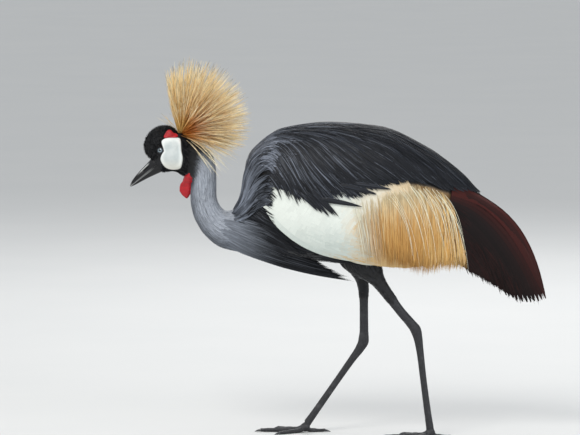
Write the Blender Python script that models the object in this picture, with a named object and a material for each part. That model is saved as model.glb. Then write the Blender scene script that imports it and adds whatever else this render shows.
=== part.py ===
"""Grey crowned crane, life size, walking with its neck lowered in an S and both feet flat on the floor.

The bird faces -X, its left side is -Y and the floor is z = 0. Lengths are in metres, and sizes written
in millimetres are multiplied by MM. The body is drawn from three tables: the head and neck, the torso,
and the cloak, which is the outer surface that the folded wings and the back make together.
"""

import math
import random

import bmesh
import bpy
from mathutils import Vector

MM = 0.001
GAP = 0.3 * MM
WELD = 0.004 * MM
LEFT = -1
RIGHT = 1
SIDES = {"left": LEFT, "right": RIGHT}
ACROSS = Vector((0, 1, 0))

# Head and neck, from the bill's root to the breast: crown x, crown z, throat x, throat z, half width.
HEAD_AND_NECK = [
    (-328.8, 486.5, -311.3, 463.8, 9.0),
    (-323.6, 513.5, -289.5, 464.6, 18.5),
    (-307.8, 534.0, -276.3, 458.5, 22.0),
    (-276.3, 534.5, -267.6, 453.3, 23.5),
    (-244.8, 516.3, -265.0, 448.0, 23.0),
    (-217.7, 484.8, -262.3, 446.3, 22.0),
    (-214.5, 453.3, -260.0, 441.8, 20.5),
    (-214.5, 424.4, -259.5, 414.8, 20.0),
    (-208.0, 404.5, -255.3, 391.0, 22.0),
    (-195.8, 394.8, -237.0, 357.0, 25.5),
    (-185.3, 396.9, -206.3, 332.5, 29.0),
    (-172.0, 402.0, -172.0, 324.0, 31.0),
]
NECK_CUTS = (5.0, 7.0, 9.0)
SKIN_SIDES = 14
SKIN_POWER = 2.2

# Torso: x, top z, bottom z, half width.
TORSO = [
    (-172, 402, 324, 31),
    (-169, 440, 321, 37),
    (-162, 472, 319, 45),
    (-146, 499, 317, 54),
    (-122, 517, 315, 64),
    (-80, 530, 313, 74),
    (-20, 536, 308, 80),
    (40, 532, 302, 79),
    (90, 514, 303, 71),
    (135, 486, 316, 58),
    (175, 454, 340, 42),
    (210, 420, 364, 25),
    (222, 408, 376, 17),
]
TORSO_SIDES = 16

# Cloak: x, ridge z, z of the widest level, keel z, half width.
CLOAK = [
    (-170, 455, 425, 385, 24),
    (-152, 501, 431, 330, 52),
    (-98, 538, 436, 314, 79),
    (-20, 548, 437, 300, 92),
    (70, 541, 432, 290, 90),
    (150, 506, 410, 280, 73),
    (215, 458, 366, 270, 53),
    (240, 431, 346, 262, 46),
    (298, 386, 296, 236, 31.5),
    (349, 322, 256, 226, 16),
    (364, 265, 246, 226, 8),
]
LOWER_SQUARENESS = 0.45

# Lie of the feathers on the cloak's sides: x, degrees down from straight back.
LIE = [(-170, -45), (-150, -15), (-130, 28), (-110, 56), (-80, 60), (-40, 50), (20, 38), (80, 27), (150, 20), (240, 14)]
LIE_STARTS_AT = 4
LIE_FULL_AT = 55

# Lower edge of the dark scapulars: x, degrees round the cloak from its ridge.
SCAPULAR_EDGE = [
    (-126, 80),
    (-108, 87),
    (-64, 102),
    (-20, 112),
    (10, 110),
    (40, 103),
    (90, 88),
    (124, 75),
    (170, 66),
    (205, 54),
    (222, 35),
    (240, 12),
]

# Lower edge of the white wing panel: x, z.
PANEL_EDGE = [(-128, 402), (-107, 376), (-82, 356), (-57, 340), (-21, 325), (16, 315), (65, 307), (100, 303)]
UNDERLAP_DEG = 8
PANEL_FRONT = -128
PLUMES_FRONT = 92
SECONDARIES_FRONT = 146
WING_REAR = 205

BILL_LENGTH = 58 * MM
VELVET_CENTRE = Vector((-309.6, 0, 514.5)) * MM
VELVET_SIZE = (35.5 * MM, 17.5 * MM, 30.5 * MM)
EYE_CENTRE = Vector((-310.8, 11.6, 502.6)) * MM
EYE_RADIUS = 7.2 * MM
CREST_ROOT = Vector((-277.0, 0, 531.0)) * MM
CREST_DOME = 9 * MM
CREST_BRISTLES = 74
MANTLE_LOCKS = 6

LEG_Y = 35
# Leg stations: x, z, half depth fore and aft, half width. The last but one is the hock's neighbour.
LEG_PATHS = {
    "left": [
        (42, 332, 38, 23),
        (48, 307, 34, 21),
        (60, 288, 20, 15.5),
        (71, 272, 12, 11),
        (87, 250, 9.4, 8.2),
        (108, 222, 8.2, 6.6),
        (126, 201, 8.6, 7.0),
        (134, 190, 9.6, 8.4),
        (138, 176, 8.2, 6.8),
        (142, 150, 6.6, 5.4),
        (148, 100, 6.0, 5.0),
        (156, 40, 6.4, 5.6),
        (159.5, 16.5, 7.0, 6.4),
    ],
    "right": [
        (26, 332, 36, 23),
        (30, 307, 31, 21),
        (36, 288, 18, 15.5),
        (41, 272, 11.5, 11),
        (44, 248, 8.8, 8.2),
        (44.5, 222, 7.8, 6.6),
        (44.8, 182, 8.0, 6.8),
        (44.0, 163, 9.6, 8.4),
        (37.5, 149, 8.2, 6.8),
        (24, 130, 6.6, 5.4),
        (-6, 87, 6.0, 5.0),
        (-42, 35, 6.4, 5.6),
        (-55, 16.5, 7.0, 6.4),
    ],
}
FEATHERS_END = 4
HOCK = 7
LEG_SIDES = 10
TOE_BALL_Z = 9.5
SOLE_SHARE = 0.79
# Toes: name, degrees from straight ahead (outward is positive), length, root radius, tip radius.
TOES = [
    ("middle", 4, 78, 6.0, 3.4),
    ("inner", -34, 54, 5.4, 3.2),
    ("outer", 38, 60, 5.4, 3.2),
    ("hind", 172, 34, 4.6, 3.0),
]
CLAW_LENGTH = 11

GREY = (0.27, 0.30, 0.35)
SLATE = (0.035, 0.040, 0.052)
WHITE = (0.72, 0.75, 0.70)
GOLD = (0.72, 0.47, 0.20)
PALE_GOLD = (0.78, 0.58, 0.30)
CHESTNUT = (0.050, 0.016, 0.014)
BLACK = (0.006, 0.006, 0.007)
LEG_BLACK = (0.020, 0.021, 0.024)
HORN = (0.045, 0.048, 0.052)
SKIN_WHITE = (0.80, 0.82, 0.78)
SKIN_RED = (0.52, 0.010, 0.018)
EYE_COLOUR = (0.42, 0.52, 0.58)


def clear_scene():
    for obj in list(bpy.data.objects):
        bpy.data.objects.remove(obj)


def glide(table, x):
    """The table's columns at x, on a smooth curve through its rows that never overshoots them."""
    rows = [tuple(float(v) for v in row) for row in table]
    if x <= rows[0][0]:
        return rows[0][1:]
    if x >= rows[-1][0]:
        return rows[-1][1:]
    k = max(i for i in range(len(rows) - 1) if rows[i][0] <= x)
    span = rows[k + 1][0] - rows[k][0]
    t = (x - rows[k][0]) / span
    values = []
    for c in range(1, len(rows[0])):
        rise = [
            (rows[i + 1][c] - rows[i][c]) / (rows[i + 1][0] - rows[i][0]) if 0 <= i < len(rows) - 1 else None
            for i in (k - 1, k, k + 1)
        ]

        def slope(a, b):
            if a is None:
                return b
            if b is None:
                return a
            return 0.0 if a * b <= 0 else 2 * a * b / (a + b)

        start, end = slope(rise[0], rise[1]) * span, slope(rise[1], rise[2]) * span
        p, q = rows[k][c], rows[k + 1][c]
        values.append(
            p * (2 * t**3 - 3 * t**2 + 1) + start * (t**3 - 2 * t**2 + t) + q * (3 * t**2 - 2 * t**3) + end * (t**3 - t**2)
        )
    return tuple(values)


def material(name, colour, roughness, metallic=0.0):
    mat = bpy.data.materials.get(name) or bpy.data.materials.new(name)
    mat.use_nodes = True
    shader = mat.node_tree.nodes["Principled BSDF"]
    shader.inputs["Base Color"].default_value = (*colour, 1)
    shader.inputs["Roughness"].default_value = roughness
    shader.inputs["Metallic"].default_value = metallic
    return mat


def solid(name, points, faces):
    """A closed mesh object with its faces pointing out."""
    mesh = bpy.data.meshes.new(name)
    mesh.from_pydata([tuple(p) for p in points], [], faces)
    shape = bmesh.new()
    shape.from_mesh(mesh)
    bmesh.ops.recalc_face_normals(shape, faces=shape.faces)
    shape.to_mesh(mesh)
    shape.free()
    obj = bpy.data.objects.new(name, mesh)
    bpy.context.scene.collection.objects.link(obj)
    return obj


def loft(name, rings):
    """A solid through rings of equal count, closed by flat ends, with diagonals that mirror from side to side."""
    count = len(rings[0])
    points = [p for one in rings for p in one]
    faces = [tuple(range(count))[::-1], tuple(range(len(points) - count, len(points)))]
    for r in range(len(rings) - 1):
        for k in range(count):
            a, b = r * count + k, r * count + (k + 1) % count
            if k < count // 2:
                faces += [(a, b, b + count), (a, b + count, a + count)]
            else:
                faces += [(a, b, a + count), (b, b + count, a + count)]
    return solid(name, points, faces)


def oval(centre, up, half_up, half_across, count, power=2.0, across=ACROSS):
    """Points of a superellipse round centre."""
    points = []
    for k in range(count):
        turn = 2 * math.pi * (k + 0.5) / count
        c, s = math.cos(turn), math.sin(turn)
        rise = math.copysign(abs(c) ** (2 / power), c) * half_up
        reach = math.copysign(abs(s) ** (2 / power), s) * half_across
        points.append(centre + up * rise + across * reach)
    return points


def ellipsoid(name, centre, size, tilt_deg=0.0, sides=14, rings=8):
    """A ball stretched along its own x, y and z, turned about Y so that its x axis rises by tilt_deg."""
    tilt = math.radians(tilt_deg)
    along = Vector((math.cos(tilt), 0, math.sin(tilt)))
    up = Vector((-math.sin(tilt), 0, math.cos(tilt)))
    points = [centre - along * size[0]]
    for r in range(1, rings):
        turn = math.pi * r / rings
        middle = centre - along * size[0] * math.cos(turn)
        points += oval(middle, up, size[2] * math.sin(turn), size[1] * math.sin(turn), sides)
    points.append(centre + along * size[0])
    last = len(points) - 1
    faces = []
    for k in range(sides):
        n = (k + 1) % sides
        faces.append((0, 1 + n, 1 + k))
        faces.append((last, last - sides + k, last - sides + n))
        for r in range(rings - 2):
            a = 1 + r * sides
            faces.append((a + k, a + n, a + n + sides, a + k + sides))
    return solid(name, points, faces)


def block(name, low, high):
    points = [Vector((x, y, z)) for x in (low[0], high[0]) for y in (low[1], high[1]) for z in (low[2], high[2])]
    return solid(name, points, [(0, 1, 3, 2), (4, 5, 7, 6), (0, 1, 5, 4), (2, 3, 7, 6), (0, 2, 6, 4), (1, 3, 7, 5)])


def bake(obj):
    """Replaces the object's mesh by what its modifiers make of it."""
    bpy.context.view_layer.update()
    graph = bpy.context.evaluated_depsgraph_get()
    mesh = bpy.data.meshes.new_from_object(obj.evaluated_get(graph))
    obj.modifiers.clear()
    obj.data = mesh


def combine(obj, other, operation):
    """Joins, cuts or trims obj by other, and removes other."""
    change = obj.modifiers.new(operation, "BOOLEAN")
    change.operation = operation
    change.solver = "MANIFOLD"
    change.object = other
    bake(obj)
    bpy.data.objects.remove(other)
    return obj


def keep_largest(obj):
    """Leaves only the largest closed surface of the object's mesh."""
    shape = bmesh.new()
    shape.from_mesh(obj.data)
    bmesh.ops.triangulate(shape, faces=shape.faces)
    bmesh.ops.dissolve_degenerate(shape, dist=WELD, edges=shape.edges)
    bmesh.ops.remove_doubles(shape, verts=shape.verts, dist=WELD)
    bmesh.ops.triangulate(shape, faces=shape.faces)
    groups, seen = [], set()
    for start in shape.faces:
        if start in seen:
            continue
        group, queue = [], [start]
        seen.add(start)
        while queue:
            face = queue.pop()
            group.append(face)
            for edge in face.edges:
                for near in edge.link_faces if len(edge.link_faces) == 2 else ():
                    if near not in seen:
                        seen.add(near)
                        queue.append(near)
        groups.append(group)

    def volume(group):
        return abs(sum(f.verts[0].co.dot(f.verts[1].co.cross(f.verts[2].co)) for f in group)) / 6

    groups.sort(key=volume, reverse=True)
    extra = [face for group in groups[1:] for face in group]
    bmesh.ops.delete(shape, geom=extra, context="FACES")
    shape.to_mesh(obj.data)
    shape.free()
    return obj


def fuse(core, pieces):
    """One Boolean union of the core with its pieces, which are then removed."""
    group = bpy.data.collections.new(core.name + "_pieces")
    bpy.context.scene.collection.children.link(group)
    for piece in pieces:
        bpy.context.scene.collection.objects.unlink(piece)
        group.objects.link(piece)
    join = core.modifiers.new("union", "BOOLEAN")
    join.operation = "UNION"
    join.solver = "MANIFOLD"
    join.operand_type = "COLLECTION"
    join.collection = group
    bake(core)
    for piece in pieces:
        bpy.data.objects.remove(piece)
    bpy.data.collections.remove(group)
    return core


def finish(obj, name, mat):
    """Names the node, gives it its material and shades it smooth."""
    keep_largest(obj)
    obj.name = name
    obj.data.name = name
    obj.data.materials.clear()
    obj.data.materials.append(mat)
    obj.data.shade_smooth()
    obj.data.set_sharp_from_angle(angle=math.radians(40))
    return obj


def between(obj, low_point, low_normal, high_point, high_normal):
    """The stretch of a convex-sectioned solid past one plane and before another, less half a gap at each."""
    shape = bmesh.new()
    shape.from_mesh(obj.data)
    for point, normal, keep in ((low_point, low_normal, 1), (high_point, high_normal, -1)):
        if point is None:
            continue
        place = point + normal * keep * GAP / 2
        cut = bmesh.ops.bisect_plane(
            shape,
            geom=[*shape.verts, *shape.edges, *shape.faces],
            plane_co=place,
            plane_no=normal,
            clear_inner=keep > 0,
            clear_outer=keep < 0,
        )
        edges = [e for e in cut["geom_cut"] if isinstance(e, bmesh.types.BMEdge)]
        bmesh.ops.edgeloop_fill(shape, edges=edges)
    bmesh.ops.recalc_face_normals(shape, faces=shape.faces)
    shape.to_mesh(obj.data)
    shape.free()
    return obj


def vane(name, path, normals, widths, thickness, tip_thickness=0.35 * MM, roll_deg=0.0):
    """A flat tapered feather along path, split into triangles alike on both faces."""
    points = []
    last = len(path) - 1
    for i, point in enumerate(path):
        along = (path[min(i + 1, last)] - path[max(i - 1, 0)]).normalized()
        normal = (normals[i] - along * normals[i].dot(along)).normalized()
        side = along.cross(normal).normalized()
        roll = math.radians(roll_deg)
        side, normal = side * math.cos(roll) + normal * math.sin(roll), normal * math.cos(roll) - side * math.sin(roll)
        half = widths[i] / 2
        rise = (thickness + (tip_thickness - thickness) * max(0.0, (i / last - 0.5) * 2)) / 2
        for a, b in ((-1, 1), (1, 1), (1, -1), (-1, -1)):
            points.append(point + side * half * a + normal * rise * b)
    faces = [(0, 3, 2), (0, 2, 1)]
    for i in range(last):
        a, b = 4 * i, 4 * i + 4
        faces += [(a, a + 1, b + 1), (a, b + 1, b)]
        faces += [(a + 3, b + 2, a + 2), (a + 3, b + 3, b + 2)]
        faces += [(a + 1, a + 2, b + 2), (a + 1, b + 2, b + 1)]
        faces += [(a + 3, a, b), (a + 3, b, b + 3)]
    end = 4 * last
    faces += [(end, end + 1, end + 2), (end, end + 2, end + 3)]
    return solid(name, points, faces)


def leaf_widths(widest, count, root=0.55, tip=0.06, belly=0.5):
    """Widths of a lanceolate feather: root and tip shares of the widest, which lies at belly along it."""
    widths = []
    for i in range(count):
        t = i / (count - 1)
        if t < belly:
            share = root + (1 - root) * math.sin(t / belly * math.pi / 2)
        else:
            share = tip + (1 - tip) * math.cos((t - belly) / (1 - belly) * math.pi / 2) ** 0.8
        widths.append(widest * share)
    return widths


def cloak_point(x, turn_deg, side):
    """A point of the cloak at x millimetres and turn_deg round from its ridge, in metres."""
    ridge, widest, keel, half = glide(CLOAK, x)
    turn = math.radians(turn_deg)
    if turn_deg <= 90:
        y, z = half * math.sin(turn), widest + (ridge - widest) * math.cos(turn)
    else:
        y, z = half * max(0.0, math.sin(turn)) ** LOWER_SQUARENESS, widest + (widest - keel) * math.cos(turn)
    return Vector((x, side * y, z)) * MM


def torso_point(x, turn_deg, side, grow=0.0):
    """A point of the torso at x millimetres and turn_deg round from its top, in metres."""
    top, bottom, half = glide(TORSO, x)
    turn = math.radians(turn_deg)
    middle, rise = (top + bottom) / 2, (top - bottom) / 2 + grow
    c, s = math.cos(turn), math.sin(turn)
    z = middle + math.copysign(abs(c) ** (2 / SKIN_POWER), c) * rise
    y = math.copysign(abs(s) ** (2 / SKIN_POWER), s) * (half + grow)
    return Vector((x, side * y, z)) * MM


def lifted(surface, x, turn_deg, side, lift):
    """A point lifted off a surface along its normal, and that normal."""
    step_x, step_turn = 1.0, 1.5
    low, high = max(step_turn, turn_deg) - step_turn, turn_deg + step_turn
    along = surface(x + step_x, turn_deg, side) - surface(x - step_x, turn_deg, side)
    around = surface(x, high, side) - surface(x, low, side)
    normal = along.cross(around).normalized() * side
    return surface(x, turn_deg, side) + normal * lift * MM, normal


def turn_at(x, z):
    """Degrees round the cloak at which it has height z, seen from the side."""
    ridge, widest, keel, _ = glide(CLOAK, x)
    if z >= widest:
        return math.degrees(math.acos(min(1.0, (z - widest) / (ridge - widest))))
    return 90 + math.degrees(math.asin(min(0.985, (widest - z) / (widest - keel))))


def lie_at(x, turn_deg):
    """The feathers' direction on the cloak, in degrees down from straight back."""
    share = min(1.0, max(0.0, (turn_deg - LIE_STARTS_AT) / (LIE_FULL_AT - LIE_STARTS_AT)))
    return glide(LIE, x)[0] * share * share * (3 - 2 * share)


def trace(x, turn_deg, length, steps, side):
    """Steps along the feathers' lie from one place of the cloak: forward, or back towards the root if length < 0."""
    places = [(x, turn_deg)]
    step = length / steps
    for _ in range(steps):
        lie = math.radians(lie_at(x, turn_deg))
        along = (cloak_point(x + 1, turn_deg, side) - cloak_point(x - 1, turn_deg, side)).length / 2 / MM
        around = (cloak_point(x, turn_deg + 1, side) - cloak_point(x, turn_deg - 1, side)).length / 2 / MM
        x += step * math.cos(lie) / along
        turn_deg = max(0.5, turn_deg + step * math.sin(lie) / around)
        places.append((x, turn_deg))
    return places


def cloak_vane(name, places, side, lifts, widest, thickness=0.8 * MM, roll_deg=0.0, **shape):
    """A feather on the cloak through places, with its lift off the surface at each."""
    found = [lifted(cloak_point, x, turn, side, lift) for (x, turn), lift in zip(places, lifts)]
    widths = [w * MM for w in leaf_widths(widest, len(places), **shape)]
    return vane(name, [p for p, _ in found], [n for _, n in found], widths, thickness, roll_deg=roll_deg)


def rising(count, low, high, tip, knee=0.3):
    """Lifts that climb from low at the root to high at the knee, and on to the tip's own."""
    lifts = []
    for i in range(count):
        t = i / (count - 1)
        lifts.append(low + (high - low) * t / knee if t < knee else high + (tip - high) * (t - knee) / (1 - knee))
    return lifts


def skin_ring(station, grow=0.0):
    """The head and neck's ring at a station number, which may lie between two rows of the table."""
    rows = [(i, *row) for i, row in enumerate(HEAD_AND_NECK)]
    crown_x, crown_z, throat_x, throat_z, half = glide(rows, station)
    crown, throat = Vector((crown_x, 0, crown_z)) * MM, Vector((throat_x, 0, throat_z)) * MM
    up = (crown - throat).normalized()
    return (crown + throat) / 2, up, (crown - throat).length / 2 + grow, half * MM + grow


def skin_plane(station):
    """The middle and the normal of the ring at a station, with the normal towards the breast."""
    centre, up, _, _ = skin_ring(station)
    return centre, up.cross(ACROSS).normalized() * -1


def head_and_neck(name, first, last, grow=0.0):
    """The skin from one station to another, with rings close enough for its bends."""
    count = max(2, round((last - first) * 1.5))
    rings = []
    for i in range(count + 1):
        centre, up, half_up, half_across = skin_ring(first + (last - first) * i / count, grow)
        past = up.cross(ACROSS).normalized() * grow
        centre += past if i == 0 else -past if i == count else Vector()
        rings.append(oval(centre, up, half_up, half_across, SKIN_SIDES, SKIN_POWER))
    return loft(name, rings)


def head_shell(name, grow):
    """The head without its lids, larger by grow all round."""
    head = head_and_neck(name, 0, 5.6, grow)
    size = tuple(s + grow for s in VELVET_SIZE)
    return combine(head, ellipsoid("velvet", VELVET_CENTRE, size, 45, 14, 8), "UNION")


def torso_solid(name, grow=0.0):
    """The torso's plain solid."""
    rings = []
    for i, row in enumerate(TORSO):
        x = row[0] - (grow if i == 0 else 0) + (grow if i == len(TORSO) - 1 else 0)
        rings.append([
            torso_point(x, turn % 360 if turn <= 180 else 360 - turn, RIGHT if turn <= 180 else LEFT, grow)
            for turn in (360 * (k + 0.5) / TORSO_SIDES for k in range(TORSO_SIDES))
        ])
    return loft(name, rings)


def eye_spot(side):
    return Vector((EYE_CENTRE.x, EYE_CENTRE.y * side, EYE_CENTRE.z))


def make_head():
    """Head with the velvet forehead, lids round the eye sockets and the corner of the mouth."""
    head = head_shell("head", 0.0)
    head = between(head, None, None, *skin_plane(NECK_CUTS[0]))
    for side in SIDES.values():
        spot = eye_spot(side)
        lid = ring_tube("lid", spot + ACROSS * side * 5.6 * MM, 5.9 * MM, 1.5 * MM)
        combine(head, lid, "UNION")
        combine(head, ellipsoid("socket", spot, (EYE_RADIUS + GAP,) * 3, 90, 12, 8), "DIFFERENCE")
        corner = mouth_corner(side)
        combine(head, corner, "DIFFERENCE")
    finish(head, "head", material("velvet_black", BLACK, 0.9))


def ring_tube(name, centre, radius, thick, sides=12, around=5):
    """A ring about Y."""
    rows = []
    for i in range(sides):
        turn = 2 * math.pi * i / sides
        out = Vector((math.cos(turn), 0, math.sin(turn)))
        rows.append(oval(centre + out * radius, out, thick, thick, around))
    points = [p for row in rows for p in row]
    faces = []
    for i in range(sides):
        for k in range(around):
            a, b = i * around, (i + 1) % sides * around
            faces.append((a + k, a + (k + 1) % around, b + (k + 1) % around, b + k))
    return solid(name, points, faces)


def bill_axis():
    """Bill root, direction to the tip, the up direction across it, and the up of the face it grows from."""
    centre, face_up, _, _ = skin_ring(0)
    tip = Vector((-364.7, 0, 438.9)) * MM
    along = (tip - centre).normalized()
    up = (face_up - along * face_up.dot(along)).normalized()
    return centre, along, up, face_up


def mouth_corner(side):
    """The slit that carries the line of the mouth back under the cheek."""
    root, along, up, _ = bill_axis()
    reach = 13 * MM
    low, high = root + along * 2 * MM, root - along * reach
    points = [
        place + up * rise + ACROSS * side * out
        for place, thick in ((low, 0.8 * MM), (high, 0.4 * MM))
        for rise in (-thick / 2, thick / 2)
        for out in (5 * MM, 30 * MM)
    ]
    return solid("slit", points, [(0, 1, 3, 2), (4, 5, 7, 6), (0, 1, 5, 4), (2, 3, 7, 6), (0, 2, 6, 4), (1, 3, 7, 5)])


def make_bill():
    """Upper and lower bill, parted along the mouth, with slit nostrils in the upper."""
    root, along, bill_up, face_up = bill_axis()
    # Share of the length, half height above and below the mouth line, half width.
    profile = [
        (0.0, 14.2, 14.2, 9.0),
        (0.18, 12.4, 11.4, 7.8),
        (0.4, 10.8, 8.2, 6.3),
        (0.62, 8.8, 5.6, 4.9),
        (0.82, 5.9, 3.4, 3.4),
        (0.94, 3.0, 1.8, 2.0),
        (1.0, 0.8, 0.6, 0.8),
    ]
    rows = [[], []]
    for share, above, below, half in profile:
        centre = root + along * BILL_LENGTH * share
        up = face_up.lerp(bill_up, min(1.0, share / 0.4)).normalized()
        for which, (sign, height) in enumerate(((1, above), (-1, below))):
            line = [centre + up * sign * GAP / 2 + ACROSS * half * MM * k for k in (-1, 1)]
            turns = [math.pi * (1 - k / 6) for k in range(1, 6)]
            arch = [
                centre
                + up * sign * (GAP / 2 + height * MM * math.sin(t) ** 0.9)
                + ACROSS * half * MM * math.cos(t)
                for t in turns
            ]
            rows[which].append([line[0], *arch, line[1]])
    upper, lower = loft("upper", rows[0]), loft("lower", rows[1])
    for side in SIDES.values():
        slot = root + along * 17 * MM + bill_up * 6.4 * MM + ACROSS * side * 7.4 * MM
        tilt = math.degrees(math.atan2(along.z, along.x))
        cutter = ellipsoid("nostril", slot, (6.2 * MM, 3.4 * MM, 1.6 * MM), tilt, 8, 6)
        combine(upper, cutter, "DIFFERENCE")
    for half in (upper, lower):
        combine(half, head_shell("clear", GAP), "DIFFERENCE")
    horn = material("bill_horn", HORN, 0.35)
    finish(upper, "bill_upper", horn)
    finish(lower, "bill_lower", horn)


def prism(name, centre, half_x, half_z, side, count=12):
    """An elliptic bar through one side of the head, along Y."""
    near, far = 2 * MM * side, 45 * MM * side
    up = Vector((0, 0, 1))
    along = Vector((1, 0, 0))
    rings = []
    for y in (near, far):
        middle = Vector((centre[0] * MM, y, centre[1] * MM))
        rings.append(oval(middle, up, half_z * MM, half_x * MM, count, 2.2, along))
    return loft(name, rings)


def face_plate(name, shapes, cutters, side, thickness, mat):
    """A thin plate of bare skin on the head: the outline of shapes, clear of cutters, raised by thickness."""
    plate = prism("plate", *shapes[0], side)
    for shape in shapes[1:]:
        combine(plate, prism("lobe", *shape, side), "UNION")
    combine(plate, head_shell("outer", thickness), "INTERSECT")
    combine(plate, head_shell("inner", GAP), "DIFFERENCE")
    for shape in cutters:
        combine(plate, prism("cutter", *shape, side), "DIFFERENCE")
    finish(plate, name, mat)


def make_face():
    """White cheeks, the red skin above them, and the eyes."""
    upper, lower = ((-292.6, 510.0), 17.0, 15.0), ((-291.2, 488.5), 18.5, 18.0)
    waist = ((-291.0, 500.0), 14.5, 12.0)
    lid = ((EYE_CENTRE.x / MM, EYE_CENTRE.z / MM), 7.8, 7.8)
    crown = ((-294.5, 529.5), 10.5, 9.0)
    grown = [(c, a + 0.3, b + 0.3) for c, a, b in (upper, lower)]
    for word, side in SIDES.items():
        face_plate(f"cheek_{word}", [upper, lower, waist], [lid], side, 1.8 * MM, material("white_skin", SKIN_WHITE, 0.55))
        face_plate(f"red_skin_{word}", [crown], grown, side, 1.5 * MM, material("red_skin", SKIN_RED, 0.5))
        eye = ellipsoid("eye", eye_spot(side), (EYE_RADIUS,) * 3, 90, 12, 8)
        finish(eye, f"eye_{word}", material("eye", EYE_COLOUR, 0.08))


def make_wattle():
    """The red wattle under the throat, a small upper fold and a long lower lobe, clear of head and neck."""
    wattle = ellipsoid("wattle", Vector((-268.6, 0, 436.5)) * MM, (20.5 * MM, 6.6 * MM, 10.2 * MM), 77, 12, 8)
    fold = ellipsoid("fold", Vector((-264.5, 0, 453.5)) * MM, (12 * MM, 6.0 * MM, 8.0 * MM), 82, 10, 6)
    combine(wattle, fold, "UNION")
    combine(wattle, head_and_neck("clear", 2, 9, GAP), "DIFFERENCE")
    combine(wattle, head_shell("clear_head", GAP), "DIFFERENCE")
    finish(wattle, "wattle", material("red_skin", SKIN_RED, 0.5))


def crest_reach(turn_deg):
    """Length of the crest's bristles by their direction in the side view, degrees up from straight back."""
    table = [(-40, 94), (-20, 110), (10, 126), (35, 136), (60, 143), (84, 138), (96, 124), (108, 106)]
    return glide(table, turn_deg)[0]


def make_crest():
    """The golden crest: bristles that fan out from a small dome on the hind crown."""
    draw = random.Random(7)
    dome = ellipsoid("dome", CREST_ROOT, (CREST_DOME, CREST_DOME, CREST_DOME), 0, 10, 6)
    pieces = []
    lowest, highest, sideways = -34, 104, 52
    for i in range(CREST_BRISTLES):
        turn_deg = lowest + (highest - lowest) * ((i * 0.61803) % 1.0)
        lateral = math.asin((2 * (i + 0.5) / CREST_BRISTLES - 1) * math.sin(math.radians(sideways)))
        if turn_deg < -6:
            lateral = math.copysign(max(abs(lateral), math.radians(32)), lateral)
        turn = math.radians(turn_deg)
        aim = Vector((math.cos(turn) * math.cos(lateral), math.sin(lateral), math.sin(turn) * math.cos(lateral)))
        reach = crest_reach(turn_deg) * (1 - 0.10 * abs(math.sin(lateral))) * draw.uniform(0.93, 1.0) * MM
        droop = (4 + 17 * max(0.0, (15 - turn_deg) / 40) ** 1.5) * MM
        swing = Vector((draw.uniform(-2, 2), draw.uniform(-2, 2), 0)) * MM
        path = []
        for share in (0.0, 0.45, 1.0):
            start = CREST_ROOT + aim * CREST_DOME * 0.45
            bow = swing * math.sin(share * math.pi)
            path.append(start + aim * reach * share + bow - Vector((0, 0, droop * share * share)))
        pieces.append(bristle(f"bristle_{i}", path, (0.62 * MM, 0.72 * MM, 0.3 * MM)))
    crest = fuse(dome, pieces)
    combine(crest, head_shell("clear", GAP), "DIFFERENCE")
    combine(crest, head_and_neck("clear_neck", 4, 8, GAP), "DIFFERENCE")
    finish(crest, "crest", material("crest_gold", PALE_GOLD, 0.7))


def bristle(name, path, radii):
    """A three-sided tapering spine."""
    rings = []
    last = len(path) - 1
    for i, point in enumerate(path):
        along = (path[min(i + 1, last)] - path[max(i - 1, 0)]).normalized()
        side = along.cross(Vector((0.1, 0.9, 0.3))).normalized()
        up = side.cross(along).normalized()
        rings.append([
            point + (side * math.cos(t) + up * math.sin(t)) * radii[i] for t in (2 * math.pi * k / 3 for k in range(3))
        ])
    return loft(name, rings)


def make_neck():
    """The bent neck in three lengths, parted by thin cuts."""
    grey = material("neck_grey", GREY, 0.75)
    cuts = [skin_plane(s) for s in NECK_CUTS]
    names = ("neck_upper", "neck_middle", "neck_lower")
    for i, name in enumerate(names):
        first, last = NECK_CUTS[i] - 0.5, (NECK_CUTS[i + 1] + 0.5 if i < 2 else 11.0)
        piece = head_and_neck(name, first, last)
        if i < 2:
            between(piece, *cuts[i], *cuts[i + 1])
        else:
            face = Vector((TORSO[0][0] * MM, 0, 0))
            between(piece, *cuts[i], face, Vector((1, 0, 0)))
        finish(piece, name, grey)


def mantle_locks():
    """Long grey feathers of the shoulders, which sweep over the front of the back and wings."""
    pieces = []
    for k in range(MANTLE_LOCKS):
        turn_deg = 12 + 16 * k
        start_x = -160 + 3 * (k % 2)
        for side in SIDES.values():
            places = trace(start_x, turn_deg, 66 + 4 * (k % 2), 4, side)
            lifts = rising(5, -8, 1.6 + 0.9 * (k % 2), 4.2 + 0.9 * (k % 2))
            pieces.append(cloak_vane("lock", places, side, lifts, 12, 0.9 * MM, roll_deg=6 * side))
    return pieces


def breast_plumes():
    """Narrow plumes that hang from the breast under the body, free at their tips."""
    pieces = []
    # Root x, root turn, tip x, tip y, tip z for one side. The other side mirrors them.
    rows = [
        (-158, 172, -22, 6, 280),
        (-150, 158, 0, 13, 279),
        (-140, 168, 14, 5, 276),
        (-128, 158, 6, 16, 284),
        (-156, 144, -34, 24, 296),
        (-150, 130, -46, 40, 308),
        (-120, 138, 4, 31, 295),
        (-116, 134, -18, 45, 314),
        (-144, 126, -60, 50, 322),
    ]
    for x, turn_deg, tip_x, tip_y, tip_z in rows:
        for side in SIDES.values():
            root, normal = lifted(torso_point, x, turn_deg, side, -6)
            tip = Vector((tip_x, tip_y * side, tip_z)) * MM
            out = lifted(torso_point, x + 14, turn_deg, side, 2.0)[0]
            knee = lifted(torso_point, x + 50, turn_deg + 4, side, 3.0 if turn_deg < 140 else 6.0)[0]
            path = [root, out, knee, knee.lerp(tip, 0.5) + normal * 1.5 * MM, tip]
            widths = [w * MM for w in leaf_widths(7.5, 5)]
            pieces.append(vane("plume", path, [normal] * 5, widths, 0.9 * MM))
    return pieces


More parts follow.
